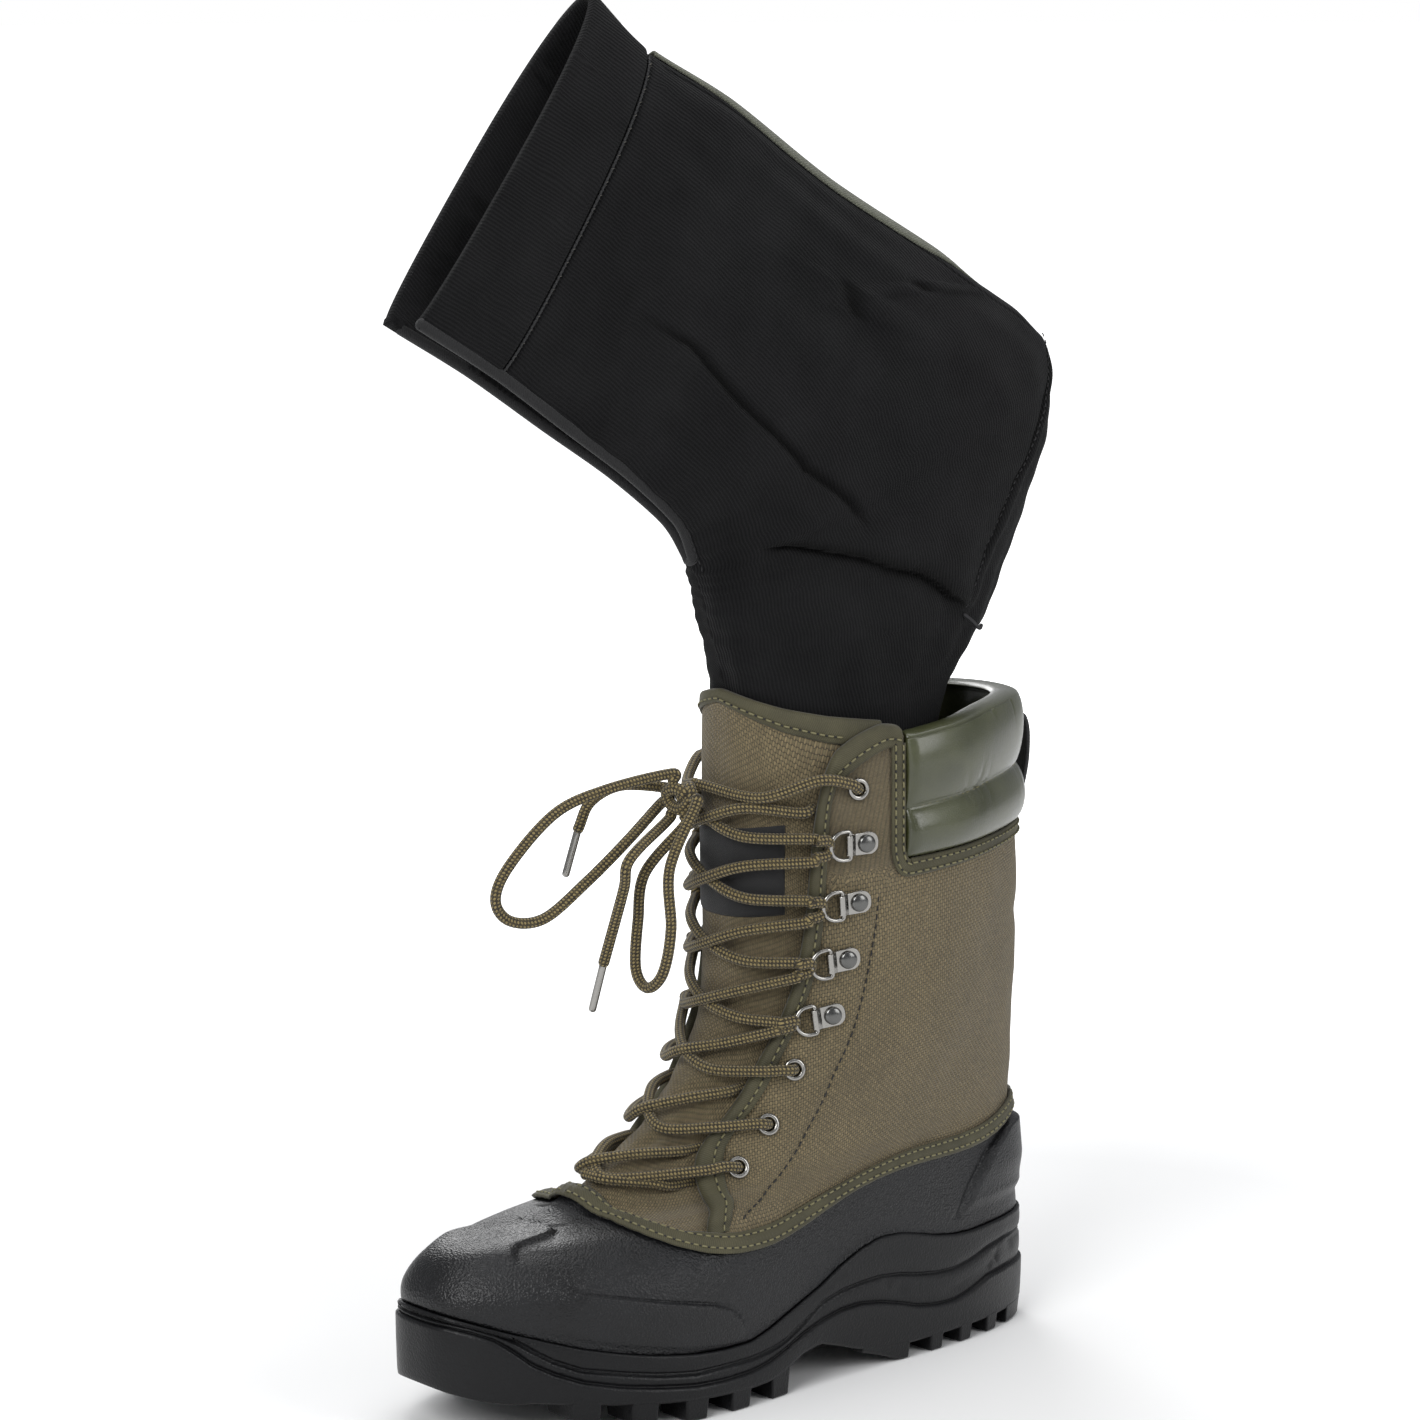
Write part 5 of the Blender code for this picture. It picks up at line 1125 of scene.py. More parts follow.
def collar_path(count):
    """Places round the leg from the outer ear by the back to the inner ear, and the collar's top row there."""
    u = np.linspace(EAR_EDGE + 0.0008, 1 - EAR_EDGE - 0.0008, count)
    top = along([(0.2254, 11.74), (0.29, 11.84), (0.33, 11.94), (0.40, 12.02), (0.5, 12.04)], lateral(u))
    return u, smooth_line(top, 21)


def cap(piece, loops):
    """Closes a tube's open ends with a face on each loop of point numbers."""
    work = bmesh.new()
    work.from_mesh(piece.data)
    work.verts.ensure_lookup_table()
    for loop in loops:
        work.faces.new([work.verts[i] for i in loop])
    bmesh.ops.recalc_face_normals(work, faces=work.faces)
    work.to_mesh(piece.data)
    work.free()
    return piece


def collar():
    """A closed profile of two rolls outside and one round inside, carried round the leg; its ends close in domes.
    Wrinkles are ridges across the rolls, strongest beside the quilted seam."""
    count = 300
    u, top = collar_path(count)
    t = np.linspace(0, 1, 46)
    roll = np.where(t < 0.44, np.sin(np.pi * np.clip(t / 0.44, 0, 1)) ** 0.55,
                    np.sin(np.pi * np.clip((t - 0.44) / 0.62, 0, 1)) ** 0.6)
    out_d = ROLL_OUT * (0.12 + roll)
    k = np.linspace(0, np.pi, 24)[1:-1]
    back_h = 0.985 + 0.055 * np.sin(k)
    back_d = (out_d[-1] - ROLL_IN) / 2 + (out_d[-1] + ROLL_IN) / 2 * np.cos(k)
    in_h = np.linspace(0.97, 0.0, 30)
    in_d = -ROLL_IN * (0.55 + 0.45 * np.sin(np.pi * np.clip(in_h / 0.97, 0, 1)) ** 0.6)
    h = np.concatenate([t, back_h, in_h])
    d = np.concatenate([out_d, back_d, in_d])
    rng = np.random.default_rng(7)
    folds = np.zeros((count, len(h)))
    outside = (np.arange(len(h)) < len(t)).astype(float)
    for _ in range(26):
        place, wide, seam = rng.uniform(0, 1), rng.uniform(0.002, 0.006), rng.choice([0.44, 0.44, 0.0, 1.0])
        lean = rng.normal(0, 0.05)
        run = (np.linspace(0, 1, count)[:, None] - place - lean * (h - seam)[None]) / wide
        reach = np.exp(-((h - seam) / rng.uniform(0.07, 0.20)) ** 2)[None]
        folds -= rng.uniform(0.00015, 0.00045) * np.exp(-run ** 2) * reach * outside[None]
    ends = np.minimum(np.arange(count), np.arange(count)[::-1]) / 6.5
    dome = np.sqrt(np.clip(1 - (1 - np.clip(ends, 0, 1)) ** 2, 0.02, 1))[:, None]
    span_h = h[None] * (top[:, None] - COLLAR_LOW)
    deep = np.where(d[None] > 0, d[None] * (0.35 + 0.65 * dome), d[None] * (0.5 + 0.5 * dome)) + folds * dome
    points = skin(np.repeat(u[:, None], len(h), 1), COLLAR_LOW + span_h, deep)
    m = len(h)
    return cap(surface("padded_collar", points, wrap_up=True), (range(m), range((count - 1) * m, count * m)))


def coated_cover():
    """Coated cloth: fine leather grain, glossy under a thin coat, a little paler in soft clouded patches."""
    material, tree, shader = start_material("glossy coated cover", 0.36, Coat_Weight=0.7, Coat_Roughness=0.20)
    place = add_node(tree, "TexCoord").outputs["Object"]
    grain = add_node(tree, "TexVoronoi", {"feature": "DISTANCE_TO_EDGE"}, Vector=place,
                     Scale=900.0).outputs["Distance"]
    cloud = add_node(tree, "TexNoise", Vector=place, Scale=50.0, Detail=4.0).outputs[0]
    tree.links.new(blend_colours(tree, span(tree, cloud, 0.3, 0.7, 0.0, 1.0), shade("303318"), shade("43462a")),
                   shader.inputs["Base Color"])
    tree.links.new(span(tree, cloud, 0.3, 0.7, 0.30, 0.42), shader.inputs["Roughness"])
    bump(tree, shader, span(tree, grain, 0.0, 0.25, 0.0, 1.0), 0.00012, 0.5)
    return material


COVER = coated_cover()
finish(collar(), COVER, "collar_cover", "collar")


def collar_seam():
    """Quilting stitches in the seam between the two rolls."""
    u, top = collar_path(420)
    u, top = u[10:-10], top[10:-10]
    return [skin_line(u, COLLAR_LOW + (top - COLLAR_LOW) * 0.44, 0.0007)]


finish(stitches("collar_stitches", collar_seam(), long=0.0030, size=0.00034), OLIVE_THREAD, "collar_cover")


# the collar's tape: the row where it turns its corner, then for each of its edges u before the turn, how far it
# goes on in u and falls in the turn, and its row under the roll
TRIM_TURN = 10.86
TRIM_EDGES = ((0.2108, 0.017, 0.30, 10.555), (EAR_EDGE + 0.0008, 0.006, 0.14, 10.735))


def collar_trim():
    """Tape round the collar's seat: down each front edge, round the corner and along under the lower roll."""
    down = np.linspace(11.70, TRIM_TURN, 40)
    k = np.linspace(0, np.pi / 2, 16)[1:]
    low = np.linspace(TRIM_EDGES[0][0] + TRIM_EDGES[0][1], 0.5, 130)[1:]
    edges = []
    for front, on, fall, row in TRIM_EDGES:
        edges += [np.concatenate([np.full(40, front), front + on * (1 - np.cos(k)), low]),
                  np.concatenate([down, TRIM_TURN - fall * np.sin(k), np.full(len(low), row)])]
    edges[2][40:] = np.maximum(edges[2][40:], edges[0][40:])
    both = [np.concatenate([x, (1 - x if q % 2 == 0 else x)[:-1][::-1]]) for q, x in enumerate(edges)]
    rows = []
    for s, out in zip((0, 0.06, 0.2, 0.5, 0.8, 0.95, 1.0), (0.5, 1.15, 1.45, 1.5, 1.45, 1.1, 0.4)):
        u = both[0] + (both[2] - both[0]) * s
        v = both[1] + (both[3] - both[1]) * s
        rows.append(skin_line(u, v, out * 0.001 + CLEAR)[0])
    return surface("tape_collar", np.stack(rows, 1), wall=0.001), both


TRIM, TRIM_LINES = collar_trim()
finish(TRIM, TAPE, "tape", "collar_trim")


def trim_stitches():
    """Two rows along the collar's tape."""
    a_u, a_v, b_u, b_v = TRIM_LINES
    return [skin_line(a_u + (b_u - a_u) * s, a_v + (b_v - a_v) * s, 0.0015 + CLEAR) for s in (0.22, 0.74)]


sew("collar_tape_stitches", trim_stitches())


# Pull loop
# Black nylon webbing, 15 mm wide, sewn down at the collar's foot and under its top edge.
PULL_WIDE = 0.0150
PULL_WALL = 0.0020


def spline(points, count):
    """Catmull-Rom curve through points, sampled evenly by chord length."""
    p = np.asarray(points, float)
    p = np.concatenate([[2 * p[0] - p[1]], p, [2 * p[-1] - p[-2]]])
    n = len(p) - 3
    t = np.linspace(0, n, 40 * n + 1)
    k = np.clip(t.astype(int), 0, n - 1)
    f = (t - k)[:, None]
    q = cubic(p[k], p[k + 1], p[k + 2], p[k + 3], f)
    run = np.concatenate([[0], np.cumsum(np.linalg.norm(np.diff(q, axis=0), axis=1))])
    at = np.linspace(0, run[-1], count)
    return np.stack([np.interp(at, run, q[:, i]) for i in range(q.shape[1])], -1)


def pull_loop():
    """A strip carried along its side view, with a bead along both edges."""
    p = frame_at(0.5, 11.30)[0]
    out = ROLL_OUT + CLEAR
    foot = outer(0.5, 10.6)[1] - p[1] + 2 * CLEAR + TAPE_WALL
    head = outer(0.5, 11.7)[1] - p[1] + out
    path = spline([(-0.030, foot), (-0.020, out + 0.0035), (-0.006, out + 0.0075), (0.006, out + 0.0085),
                   (0.014, out + 0.0075), (0.0185, out + 0.0045), (0.0185, head)], 70)
    s = np.linspace(-0.5, 0.5, 13)
    grid = np.zeros((len(path), len(s), 3))
    grid[..., 0] = p[0] + s[None] * PULL_WIDE
    grid[..., 1] = p[1] + path[:, 1:2] + PULL_WALL + 0.0002 * (np.abs(s) > 0.4)[None]
    grid[..., 2] = p[2] + path[:, 0:1]
    return surface("webbing_pull_loop", grid, wall=PULL_WALL)


WEBBING = tape_cloth("black webbing", "2a2a2c", "131314", 0.0013, 0.8)
finish(pull_loop(), WEBBING, "black_web", "pull_loop")


# Metal fittings
# Nickel-plated brass: four turned eyelets a side, and four clips a side, each a strip of sheet folded round the
# straight bar of a D ring and riveted through both its layers.
EYELET_FLANGE = 0.0049
FLANGE_HIGH = 0.0011
CLIP_WIDE = 0.0096
CLIP_LONG = 0.0125
CLIP_SHEET = 0.0008
RING_WIRE = 0.0019
RING_WIDE = 0.0142
RING_LONG = 0.0112
RIVET_HEAD = 0.0078
RIVET_HIGH = 0.0020
LACE = 0.0048


def plated(name, tone):
    """Nickel plate with soft wear in its roughness."""
    material, tree, shader = start_material(name, 0.28, 1.0)
    shader.inputs["Base Color"].default_value = (*tone, 1.0)
    place = add_node(tree, "TexCoord").outputs["Object"]
    wear = add_node(tree, "TexNoise", Vector=place, Scale=700.0, Detail=5.0, Roughness=0.7).outputs[0]
    tree.links.new(span(tree, wear, 0.3, 0.7, 0.16, 0.32), shader.inputs["Roughness"])
    bump(tree, shader, wear, 0.00004, 0.4)
    return material


NICKEL = plated("nickel plate", (0.36, 0.35, 0.33))
DARK_NICKEL = plated("dark nickel", (0.15, 0.15, 0.145))


def set_in(points, where):
    """Local points (round the leg, up it, outward) carried to a place on the skin."""
    p, a, b, n = where
    points = np.asarray(points)
    return p + points[..., :1] * a + points[..., 1:2] * b + points[..., 2:3] * n


def turned(name, profile, where, steps=48):
    """A closed profile (radius, height) spun round the normal."""
    w = 2 * np.pi * np.arange(steps) / steps
    r, h = np.asarray(profile).T
    grid = np.stack([np.cos(w)[:, None] * r, np.sin(w)[:, None] * r, np.repeat(h[None], steps, 0)], -1)
    return tidy(surface(name, set_in(grid, where), wrap=True, wrap_up=True), outward=True)


def eyelet(name, u, v):
    """A rolled flange on the cloth, its barrel through the hole."""
    bore, wall, seat = EYELET_BORE, EYELET_TUBE, 2 * CLEAR
    k = np.linspace(0, np.pi, 13)
    mid, half = (EYELET_FLANGE + bore) / 2, (EYELET_FLANGE - bore) / 2
    dome = [(mid + half * np.cos(w), seat + 0.0001 + FLANGE_HIGH * np.sin(w) ** 0.8) for w in k]
    profile = [(bore, -0.8 * CLOTH_WALL), (bore + wall, -0.8 * CLOTH_WALL), (bore + wall, seat),
               (EYELET_FLANGE - 0.0002, seat)] + dome
    return turned(name, profile, frame_at(u, v))


def clip_frame(u, v, mirror):
    """Place of a clip: its x toward the throat, its y up the leg."""
    p, a, _, n = frame_at(1 - u if mirror else u, v)
    toward = a if mirror else -a
    return p, toward, np.cross(n, toward), n


def rounded_d(count=72):
    """Centre line of a D ring, x from its straight bar outward: a bar, two short arms and half an ellipse."""
    half, reach = (RING_WIDE - RING_WIRE) / 2, RING_LONG - RING_WIRE
    w = np.linspace(-np.pi / 2, np.pi / 2, 40)
    arc = np.stack([0.34 * reach + 0.66 * reach * np.cos(w), half * np.sin(w)], -1)
    q = np.linspace(0, np.pi / 2, 7)
    soft = 0.0013
    top = np.stack([soft - soft * np.sin(q), half - soft + soft * np.cos(q)], -1)
    low = np.stack([top[::-1, 0], -top[::-1, 1]], -1)
    loop = np.concatenate([arc, top, low])
    return spline(np.concatenate([loop, loop[:1]]), count + 1)[:-1]


def tube(path, radius, sides, closed=False):
    """Points (n, sides, 3) of a round tube along a path, its frame carried along without twist, domed at both
    open ends."""
    path = np.asarray(path, float)
    if not closed:
        first, last = unit(path[0] - path[1]), unit(path[-1] - path[-2])
        near = np.sin(np.linspace(0, np.pi / 2, 5))[1:] * radius * 0.8
        path = np.concatenate([path[0] + first * near[::-1, None], path, path[-1] + last * near[:, None]])
    tangent = unit(np.roll(path, -1, 0) - np.roll(path, 1, 0)) if closed else unit(np.gradient(path, axis=0))
    side = np.zeros_like(path)
    side[0] = unit(np.cross(tangent[0], (0.31, 0.17, 0.93)))
    for i in range(1, len(path)):
        side[i] = unit(side[i - 1] - tangent[i] * np.dot(side[i - 1], tangent[i]))
    top = np.cross(side, tangent)
    size = np.full(len(path), radius)
    if not closed:
        shrink = np.cos(np.linspace(0, np.pi / 2, 5))[1:] * radius
        shrink = np.maximum(shrink, radius * 0.05)
        size[:4], size[-4:] = shrink[::-1], shrink
    w = 2 * np.pi * np.arange(sides) / sides
    ring = side[:, None] * np.cos(w)[None, :, None] + top[:, None] * np.sin(w)[None, :, None]
    return path[:, None] + ring * size[:, None, None]


def closed_tube(name, path, radius, sides):
    """A tube with capped ends; its UV map runs along the middle and round the outside, so nothing shears."""
    grid = tube(path, radius, sides)
    n = len(grid)
    run = lengths(grid.mean(1, keepdims=True), 0)
    around = 2 * np.pi * radius * np.arange(sides + 1) / sides
    cut = np.stack([np.repeat(run, sides + 1, 1), np.repeat(around[None], n, 0)], -1)
    piece = surface(name, grid, wrap_up=True, cut=cut)
    return cap(piece, (range(sides), range((n - 1) * sides, n * sides)))


def clip(name, where):
    """The folded strip: flat tail under and over, rolled round the ring's bar, its tail corners rounded."""
    bar, tail = CLIP_LONG * 0.62, CLIP_LONG * 0.46
    high = CLEAR + CLIP_SHEET + RING_WIRE / 2 + CLEAR
    roll, lift = RING_WIRE / 2 + CLEAR, 2 * CLEAR + 2 * CLIP_SHEET
    w = np.linspace(-np.pi / 2, np.pi / 2, 17)
    outside = [(-tail, CLEAR)] + [(bar + (roll + CLIP_SHEET) * np.cos(t), high + (roll + CLIP_SHEET) * np.sin(t))
                                  for t in w] + [(bar - 2.0 * roll, lift + 0.3 * CLIP_SHEET), (-tail, lift)]
    inside = [(-tail, CLEAR + CLIP_SHEET)] + [(bar + roll * np.cos(t), high + roll * np.sin(t)) for t in w] + [
        (bar - 2.0 * roll, lift - 0.7 * CLIP_SHEET), (-tail, lift - CLIP_SHEET)]
    loop = np.array(outside + inside[::-1])
    half, corner = CLIP_WIDE / 2, 0.0040
    y = np.concatenate([-half + corner * (1 - np.cos(np.linspace(0, np.pi / 2, 6))), [0.0]])
    y = np.concatenate([y, -y[:-1][::-1]])
    past = np.clip(np.abs(y) - (half - corner), 0, corner)
    draw = corner - np.sqrt(np.clip(corner ** 2 - past ** 2, 0, None))
    narrow = 1 - 0.10 * ease(loop[:, 0], bar - 0.004, bar)
    grid = np.zeros((len(y), len(loop), 3))
    grid[..., 0] = np.where(loop[:, 0] <= -tail + 1e-6, loop[:, 0] + draw[:, None], loop[:, 0])
    grid[..., 1] = y[:, None] * narrow[None]
    grid[..., 2] = loop[:, 1]
    m = len(loop)
    sides = [[base + q for q in (j, j + 1, m - 2 - j, m - 1 - j)] for base in (0, (len(y) - 1) * m)
             for j in range(len(outside) - 1)]
    piece = cap(surface(name, set_in(grid, where), wrap_up=True, smooth=False), sides)
    soft = piece.modifiers.new("soft edges", "BEVEL")
    soft.width = 0.00022
    soft.segments = 2
    soft.limit_method = "ANGLE"
    soft.angle_limit = math.radians(35)
    return piece


def ring(name, where):
    """The D ring of round wire, level over the cloth."""
    flat = rounded_d()
    high = CLEAR + CLIP_SHEET + RING_WIRE / 2 + CLEAR
    path = np.column_stack([CLIP_LONG * 0.62 + flat[:, 0], flat[:, 1], np.full(len(flat), high)])
    grid = tube(set_in(path, where), RING_WIRE / 2, 16, closed=True)
    return tidy(surface(name, grid, wrap=True, wrap_up=True), outward=True)


def rivet(name, where):
    """A low domed head with a small flat rim."""
    base = 3 * CLEAR + 2 * CLIP_SHEET
    t = np.linspace(0, 1, 16)
    r = RIVET_HEAD / 2
    rim, pole = 0.0004, 0.00001
    dome = [(max(r * np.cos(w), pole), base + rim + (RIVET_HIGH - rim) * np.sin(w) ** 0.9)
            for w in t * np.pi / 2]
    profile = [(pole, base), (r - 0.0001, base), (r, base + 0.0002)] + dome
    return tidy(turned(name, profile, where), 0.00003, outward=True)


for key, (place_u, place_v) in EYELETS.items():
    for side_name, on in (("outer", place_u), ("inner", 1 - place_u)):
        node = "eyelet_%s_%s" % (key, side_name)
        finish(eyelet("metal_" + node, on, place_v), NICKEL, "nickel", node)
for key, (place_u, place_v) in CLIPS.items():
    for side_name, mirrored in (("outer", False), ("inner", True)):
        spot = clip_frame(place_u, place_v, mirrored)
        for kind, make in (("clip", clip), ("ring", ring), ("rivet", rivet)):
            node = "%s_%s_%s" % (kind, key, side_name)
            finish(make("metal_" + node, spot), DARK_NICKEL if kind == "rivet" else NICKEL, "nickel", node)


# Laces
# Round braided cord, about 5 mm, olive tan with dark flecks. Each end runs over the tape down into an eyelet and
# comes out from under the quarter's edge; at a D ring it goes over the ring, turns in its opening and comes back.
def braided():
    """A round braid on the UV map: strands of two slants, over and under by turns, each with its own tint."""
    material, tree, shader = start_material("flecked braid", 0.75, Sheen_Weight=0.15, Sheen_Roughness=0.4)
    cut = add_node(tree, "UVMap", {"uv_map": "cut"}).outputs[0]
    parts = add_node(tree, "SeparateXYZ", Vector=cut).outputs
    a = math_node(tree, "DIVIDE", parts[0], 0.0016)
    b = math_node(tree, "DIVIDE", parts[1], math.pi * LACE / 8)
    over, height, tint = interlace(tree, math_node(tree, "ADD", a, b), math_node(tree, "SUBTRACT", a, b), 0.5)
    fleck = math_node(tree, "ADD", math_node(tree, "MULTIPLY", over, 0.80), math_node(tree, "MULTIPLY", tint, 0.30))
    deep = span(tree, height, 0.15, 0.50, 0.0, 1.0)
    cord_colour = blend_colours(tree, span(tree, fleck, 0.12, 1.0, 0.0, 1.0), shade("8b7b50"), shade("312a1a"))
    tree.links.new(blend_colours(tree, deep, shade("1b170e"), cord_colour), shader.inputs["Base Color"])
    bump(tree, shader, height, 0.0005, 0.9)
    return material


BRAID = braided()


# u of the knot, and how much thicker than the lace it is pulled
KNOT_U = -0.0125
KNOT_SIZE = 1.15


def lace_run(first_side):
    """Listed points of one lace end from the knot to the lowest eyelets: (u on its side, row, height)."""
    rows = {**EYELETS, **CLIPS}
    order = [rows[str(k)] for k in range(1, 9)]
    low = LACE / 2 - CLOTH_WALL + 5 * CLEAR
    on_edge = 2 * CLEAR + TAPE_WALL + 0.0005 + LACE / 2
    on_ring = 2 * CLEAR + CLIP_SHEET + RING_WIRE + LACE / 2 - 0.0004
    side = first_side
    path = [(side * 0.004 + KNOT_U, order[0][1] + 0.02, low + 0.4 * LACE)]
    for k, (u0, v0) in enumerate(order):
        is_ring = str(k + 1) in CLIPS
        lip = throat(v0, 0.0) - 0.004
        spread = 0.13 if k < 5 else 0.20 if k < 7 else 0.09
        if k == 0:
            path.append((side * 0.075, v0 - 0.03, low + 0.3 * LACE))
        path.append((side * lip, v0 + 0.7 * spread, on_edge))
        if is_ring:
            path += [(side * (u0 - 0.051), v0 + 0.075, on_ring + 0.0006), (side * (u0 - 0.0385), v0 + 0.065, 0.0040),
                     (side * (u0 - 0.0350), v0, 0.0016), (side * (u0 - 0.0385), v0 - 0.065, 0.0030),
                     (side * (u0 - 0.051), v0 - 0.075, on_ring - 0.0006), (side * lip, v0 - 0.8 * spread, on_edge)]
        else:
            path += [(side * (u0 - 0.013), v0 + 0.06, on_edge + 0.0002), (side * (u0 - 0.003), v0 + 0.01, 0.0027),
                     (side * u0, v0, -0.0012), (side * (u0 - 0.004), v0 - 0.05, -0.0052),
                     (side * (u0 - 0.016), v0 - 0.14, -0.0058), (side * (lip + 0.002), v0 - spread, -0.0050),
                     (side * (lip - 0.014), v0 - 1.2 * spread, -0.0012)]
        if k < 7:
            v1 = order[k + 1][1]
            mid = (v0 + v1) / 2
            gap = 0.62 * LACE if (k % 2 == 0) == (first_side > 0) else 0.0
            path += [(side * 0.055, mid + 0.25 * (v0 - v1), low + 0.3 * gap), (0.0, mid, low + gap),
                     (-side * 0.055, mid - 0.25 * (v0 - v1), low + 0.3 * gap)]
            side = -side
    u0, v0 = order[-1]
    for share, rise, off in ((0.62, 0.02, low), (0.30, 0.22, low + 0.0005), (-0.02, 0.30, low)):
        path.append((side * u0 * share, v0 + rise + (0.05 if first_side > 0 else 0.0), off))
    return np.array([skin(np.mod(a, 1.0), b, c) for a, b, c in path])


for lace_name, start_side in (("lace_first", 1), ("lace_second", -1)):
    route = lace_run(start_side)
    strand = closed_tube(lace_name, spline(route, 1100), LACE / 2, 12)
    finish(strand, BRAID, "lace_cord", "lace_crossings")


# Bow
# The knot, two loops and two tipped ends hang free in front of the tongue. Their routes are those of the CAD:
# the knot in lace widths from its place on the skin, the loops and ends in boot lengths from the knot.
TIP = 0.0034


def leave(point, path, gap):
    """Two points straight out from the path's nearest place toward the point, the first at the gap."""
    ends = zip(path[:-1], path[1:])
    near = [a + (b - a) * np.clip(np.dot(point - a, b - a) / np.dot(b - a, b - a), 0, 1) for a, b in ends]
    near = min(near, key=lambda q: np.linalg.norm(point - q))
    way = unit(point - near)
    return [near + way * gap, near + way * (gap + 0.7 * LACE)]


def free_cord(name, node, points, diameter):
    """A braid along the points."""
    count = 48 * len(points)
    line = spline(points, count)
    piece = closed_tube(name, line, diameter / 2, 14)
    finish(piece, BRAID, "lace_cord", node)
    return piece


def bow():
    """The knot, then the loops and the tipped ends, each led out from the place where it touches the knot."""
    p, a, b, n = frame_at(1 + KNOT_U, 11.30)
    centre = p + n * (2.6 * LACE)
    touch = 0.5 * KNOT_SIZE * LACE + 2 * CLEAR

    def hanging(rows):
        """Places in boot lengths from the knot."""
        return [centre + np.array(r) * LENGTH for r in rows]

    def beside(rows):
        """Places in lace widths from the knot's place on the skin: round the leg, up it and outward."""
        return [p + (a * x + b * y + n * z) * LACE for x, y, z in rows]

    knot = beside([(-1.35, 0.35, 0.42), (0.2, 0.9, 1.6), (1.2, 0.2, 2.0), (0.6, -0.9, 2.5), (-0.7, -0.8, 2.8),
                   (-1.3, 0.2, 3.0), (-0.3, 0.8, 2.8)])
    inside = beside([(0.75, 0.45, 2.3), (0.55, -0.5, 1.7), (-0.45, -0.55, 1.5), (-0.95, 0.2, 1.9), (-0.2, 0.55, 2.2),
                     (0.3, 0.0, 2.4)])
    free_cord("bow_knot", "lace_knot", knot + inside, LACE * KNOT_SIZE)
    loops = {
        "left": ((-0.6, 1.9, 3.0), (-2.3, -1.0, 3.3), hanging([
            (-0.030, -0.100, 0.018), (-0.055, -0.165, -0.010), (-0.075, -0.225, -0.075), (-0.080, -0.245, -0.120),
            (-0.075, -0.225, -0.150), (-0.060, -0.180, -0.150), (-0.040, -0.125, -0.105), (-0.020, -0.075, -0.055)])),
        "right": ((2.4, -0.2, 2.3), (1.2, -2.2, 2.6), hanging([
            (0.036, -0.044, -0.085), (0.046, -0.050, -0.165), (0.036, -0.056, -0.225), (0.010, -0.062, -0.248),
            (-0.012, -0.064, -0.225), (-0.012, -0.060, -0.160), (-0.004, -0.054, -0.095)])),
    }
    for name, (first, last, loop) in loops.items():
        first, last = beside([first, last])
        route = leave(first, knot, touch) + loop + leave(last, knot, touch)[::-1]
        free_cord("bow_loop_" + name, "lace_loop_" + name, route, LACE)
    ends = {
        "left": ((-2.6, 0.6, 2.6), [(-0.062, -0.050, 0.014), (-0.088, -0.080, -0.008), (-0.098, -0.094, -0.045)],
                 (-0.108, -0.108, -0.108)),
        "right": ((-0.4, -2.2, 3.6), [(0.012, -0.092, -0.070), (0.004, -0.096, -0.110), (-0.020, -0.100, -0.180),
                                      (-0.030, -0.104, -0.215)], (-0.048, -0.110, -0.282)),
    }
    for name, (first, rows, stop) in ends.items():
        route = leave(beside([first])[0], knot, touch) + hanging(rows)
        stop = hanging([stop])[0]
        start = route[-1] + unit(stop - route[-1]) * 1.5 * CLEAR
        middle = start + (stop - start) * np.linspace(0.03, 0.97, 12)[:, None]
        tip = closed_tube("bow_tip_" + name, middle, TIP / 2, 20)
        finish(tip, NICKEL, "nickel", "lace_tip_" + name)
        free_cord("bow_end_" + name, "lace_end_" + name, route, LACE)


bow()


# Bootie
# Padded black knit over foam, drawn half out of the boot and leaning toward the toe: a hemmed cuff with the rib
# running down it, a leg split down the front with a bound edge that turns in a U, a narrow grey-olive gusset along
# the back, a piped seam round the heel whose thread tail was left long, and the ribbed foot inside the boot.
BOOTIE_WALL = 0.0040
BOOTIE = np.array([
    (-0.8875, 1.583, -0.5844, 2.041, 0.140), (-0.7625, 1.510, -0.5000, 1.962, 0.154),
    (-0.6438, 1.428, -0.3594, 1.883, 0.170), (-0.5375, 1.355, -0.1875, 1.762, 0.193),
    (-0.4531, 1.283, 0.0312, 1.634, 0.232), (-0.4219, 1.228, 0.1950, 1.522, 0.265),
    (-0.4094, 1.193, 0.2000, 1.386, 0.289), (-0.3969, 1.155, 0.1438, 1.248, 0.302),
    (-0.3813, 1.097, 0.0781, 1.110, 0.312), (-0.3594, 1.014, 0.0060, 1.014, 0.318),
    (-0.3500, 0.924, -0.0250, 0.917, 0.310), (-0.3500, 0.810, -0.0625, 0.800, 0.290),
    (-0.3500, 0.690, -0.1188, 0.676, 0.262), (-0.3438, 0.600, -0.1719, 0.586, 0.220),
    (-0.3188, 0.540, -0.2188, 0.530, 0.150), (-0.2688, 0.510, -0.2688, 0.510, 0.000),
])
BOOTIE_LEAN = -0.0011
SLIT_ROWS = 5.0
SLIT_SHARE = 0.09
SLIT_SQUARE = 0.6
# Creases of the near side, each (row, share round the loop): the long fold down the leg, the fold over the foot's
# top, the one by the gusset and the dimple at its lower end.
LONG_FOLD = [(1.85, 0.188), (2.53, 0.198), (3.33, 0.185), (4.35, 0.180), (5.3, 0.195), (6.23, 0.210)]
FOOT_FOLD = [(5.23, 0.102), (5.58, 0.138), (6.12, 0.172), (6.90, 0.233), (7.58, 0.300), (7.85, 0.345)]
SHORT_FOLD = [(3.33, 0.328), (3.45, 0.310), (3.62, 0.297)]
DIMPLE = [(3.75, 0.375), (3.90, 0.372)]
HEEL_SEAM = [(4.95, 0.470), (5.12, 0.450), (5.58, 0.407), (6.35, 0.360), (7.12, 0.338), (7.85, 0.335)]


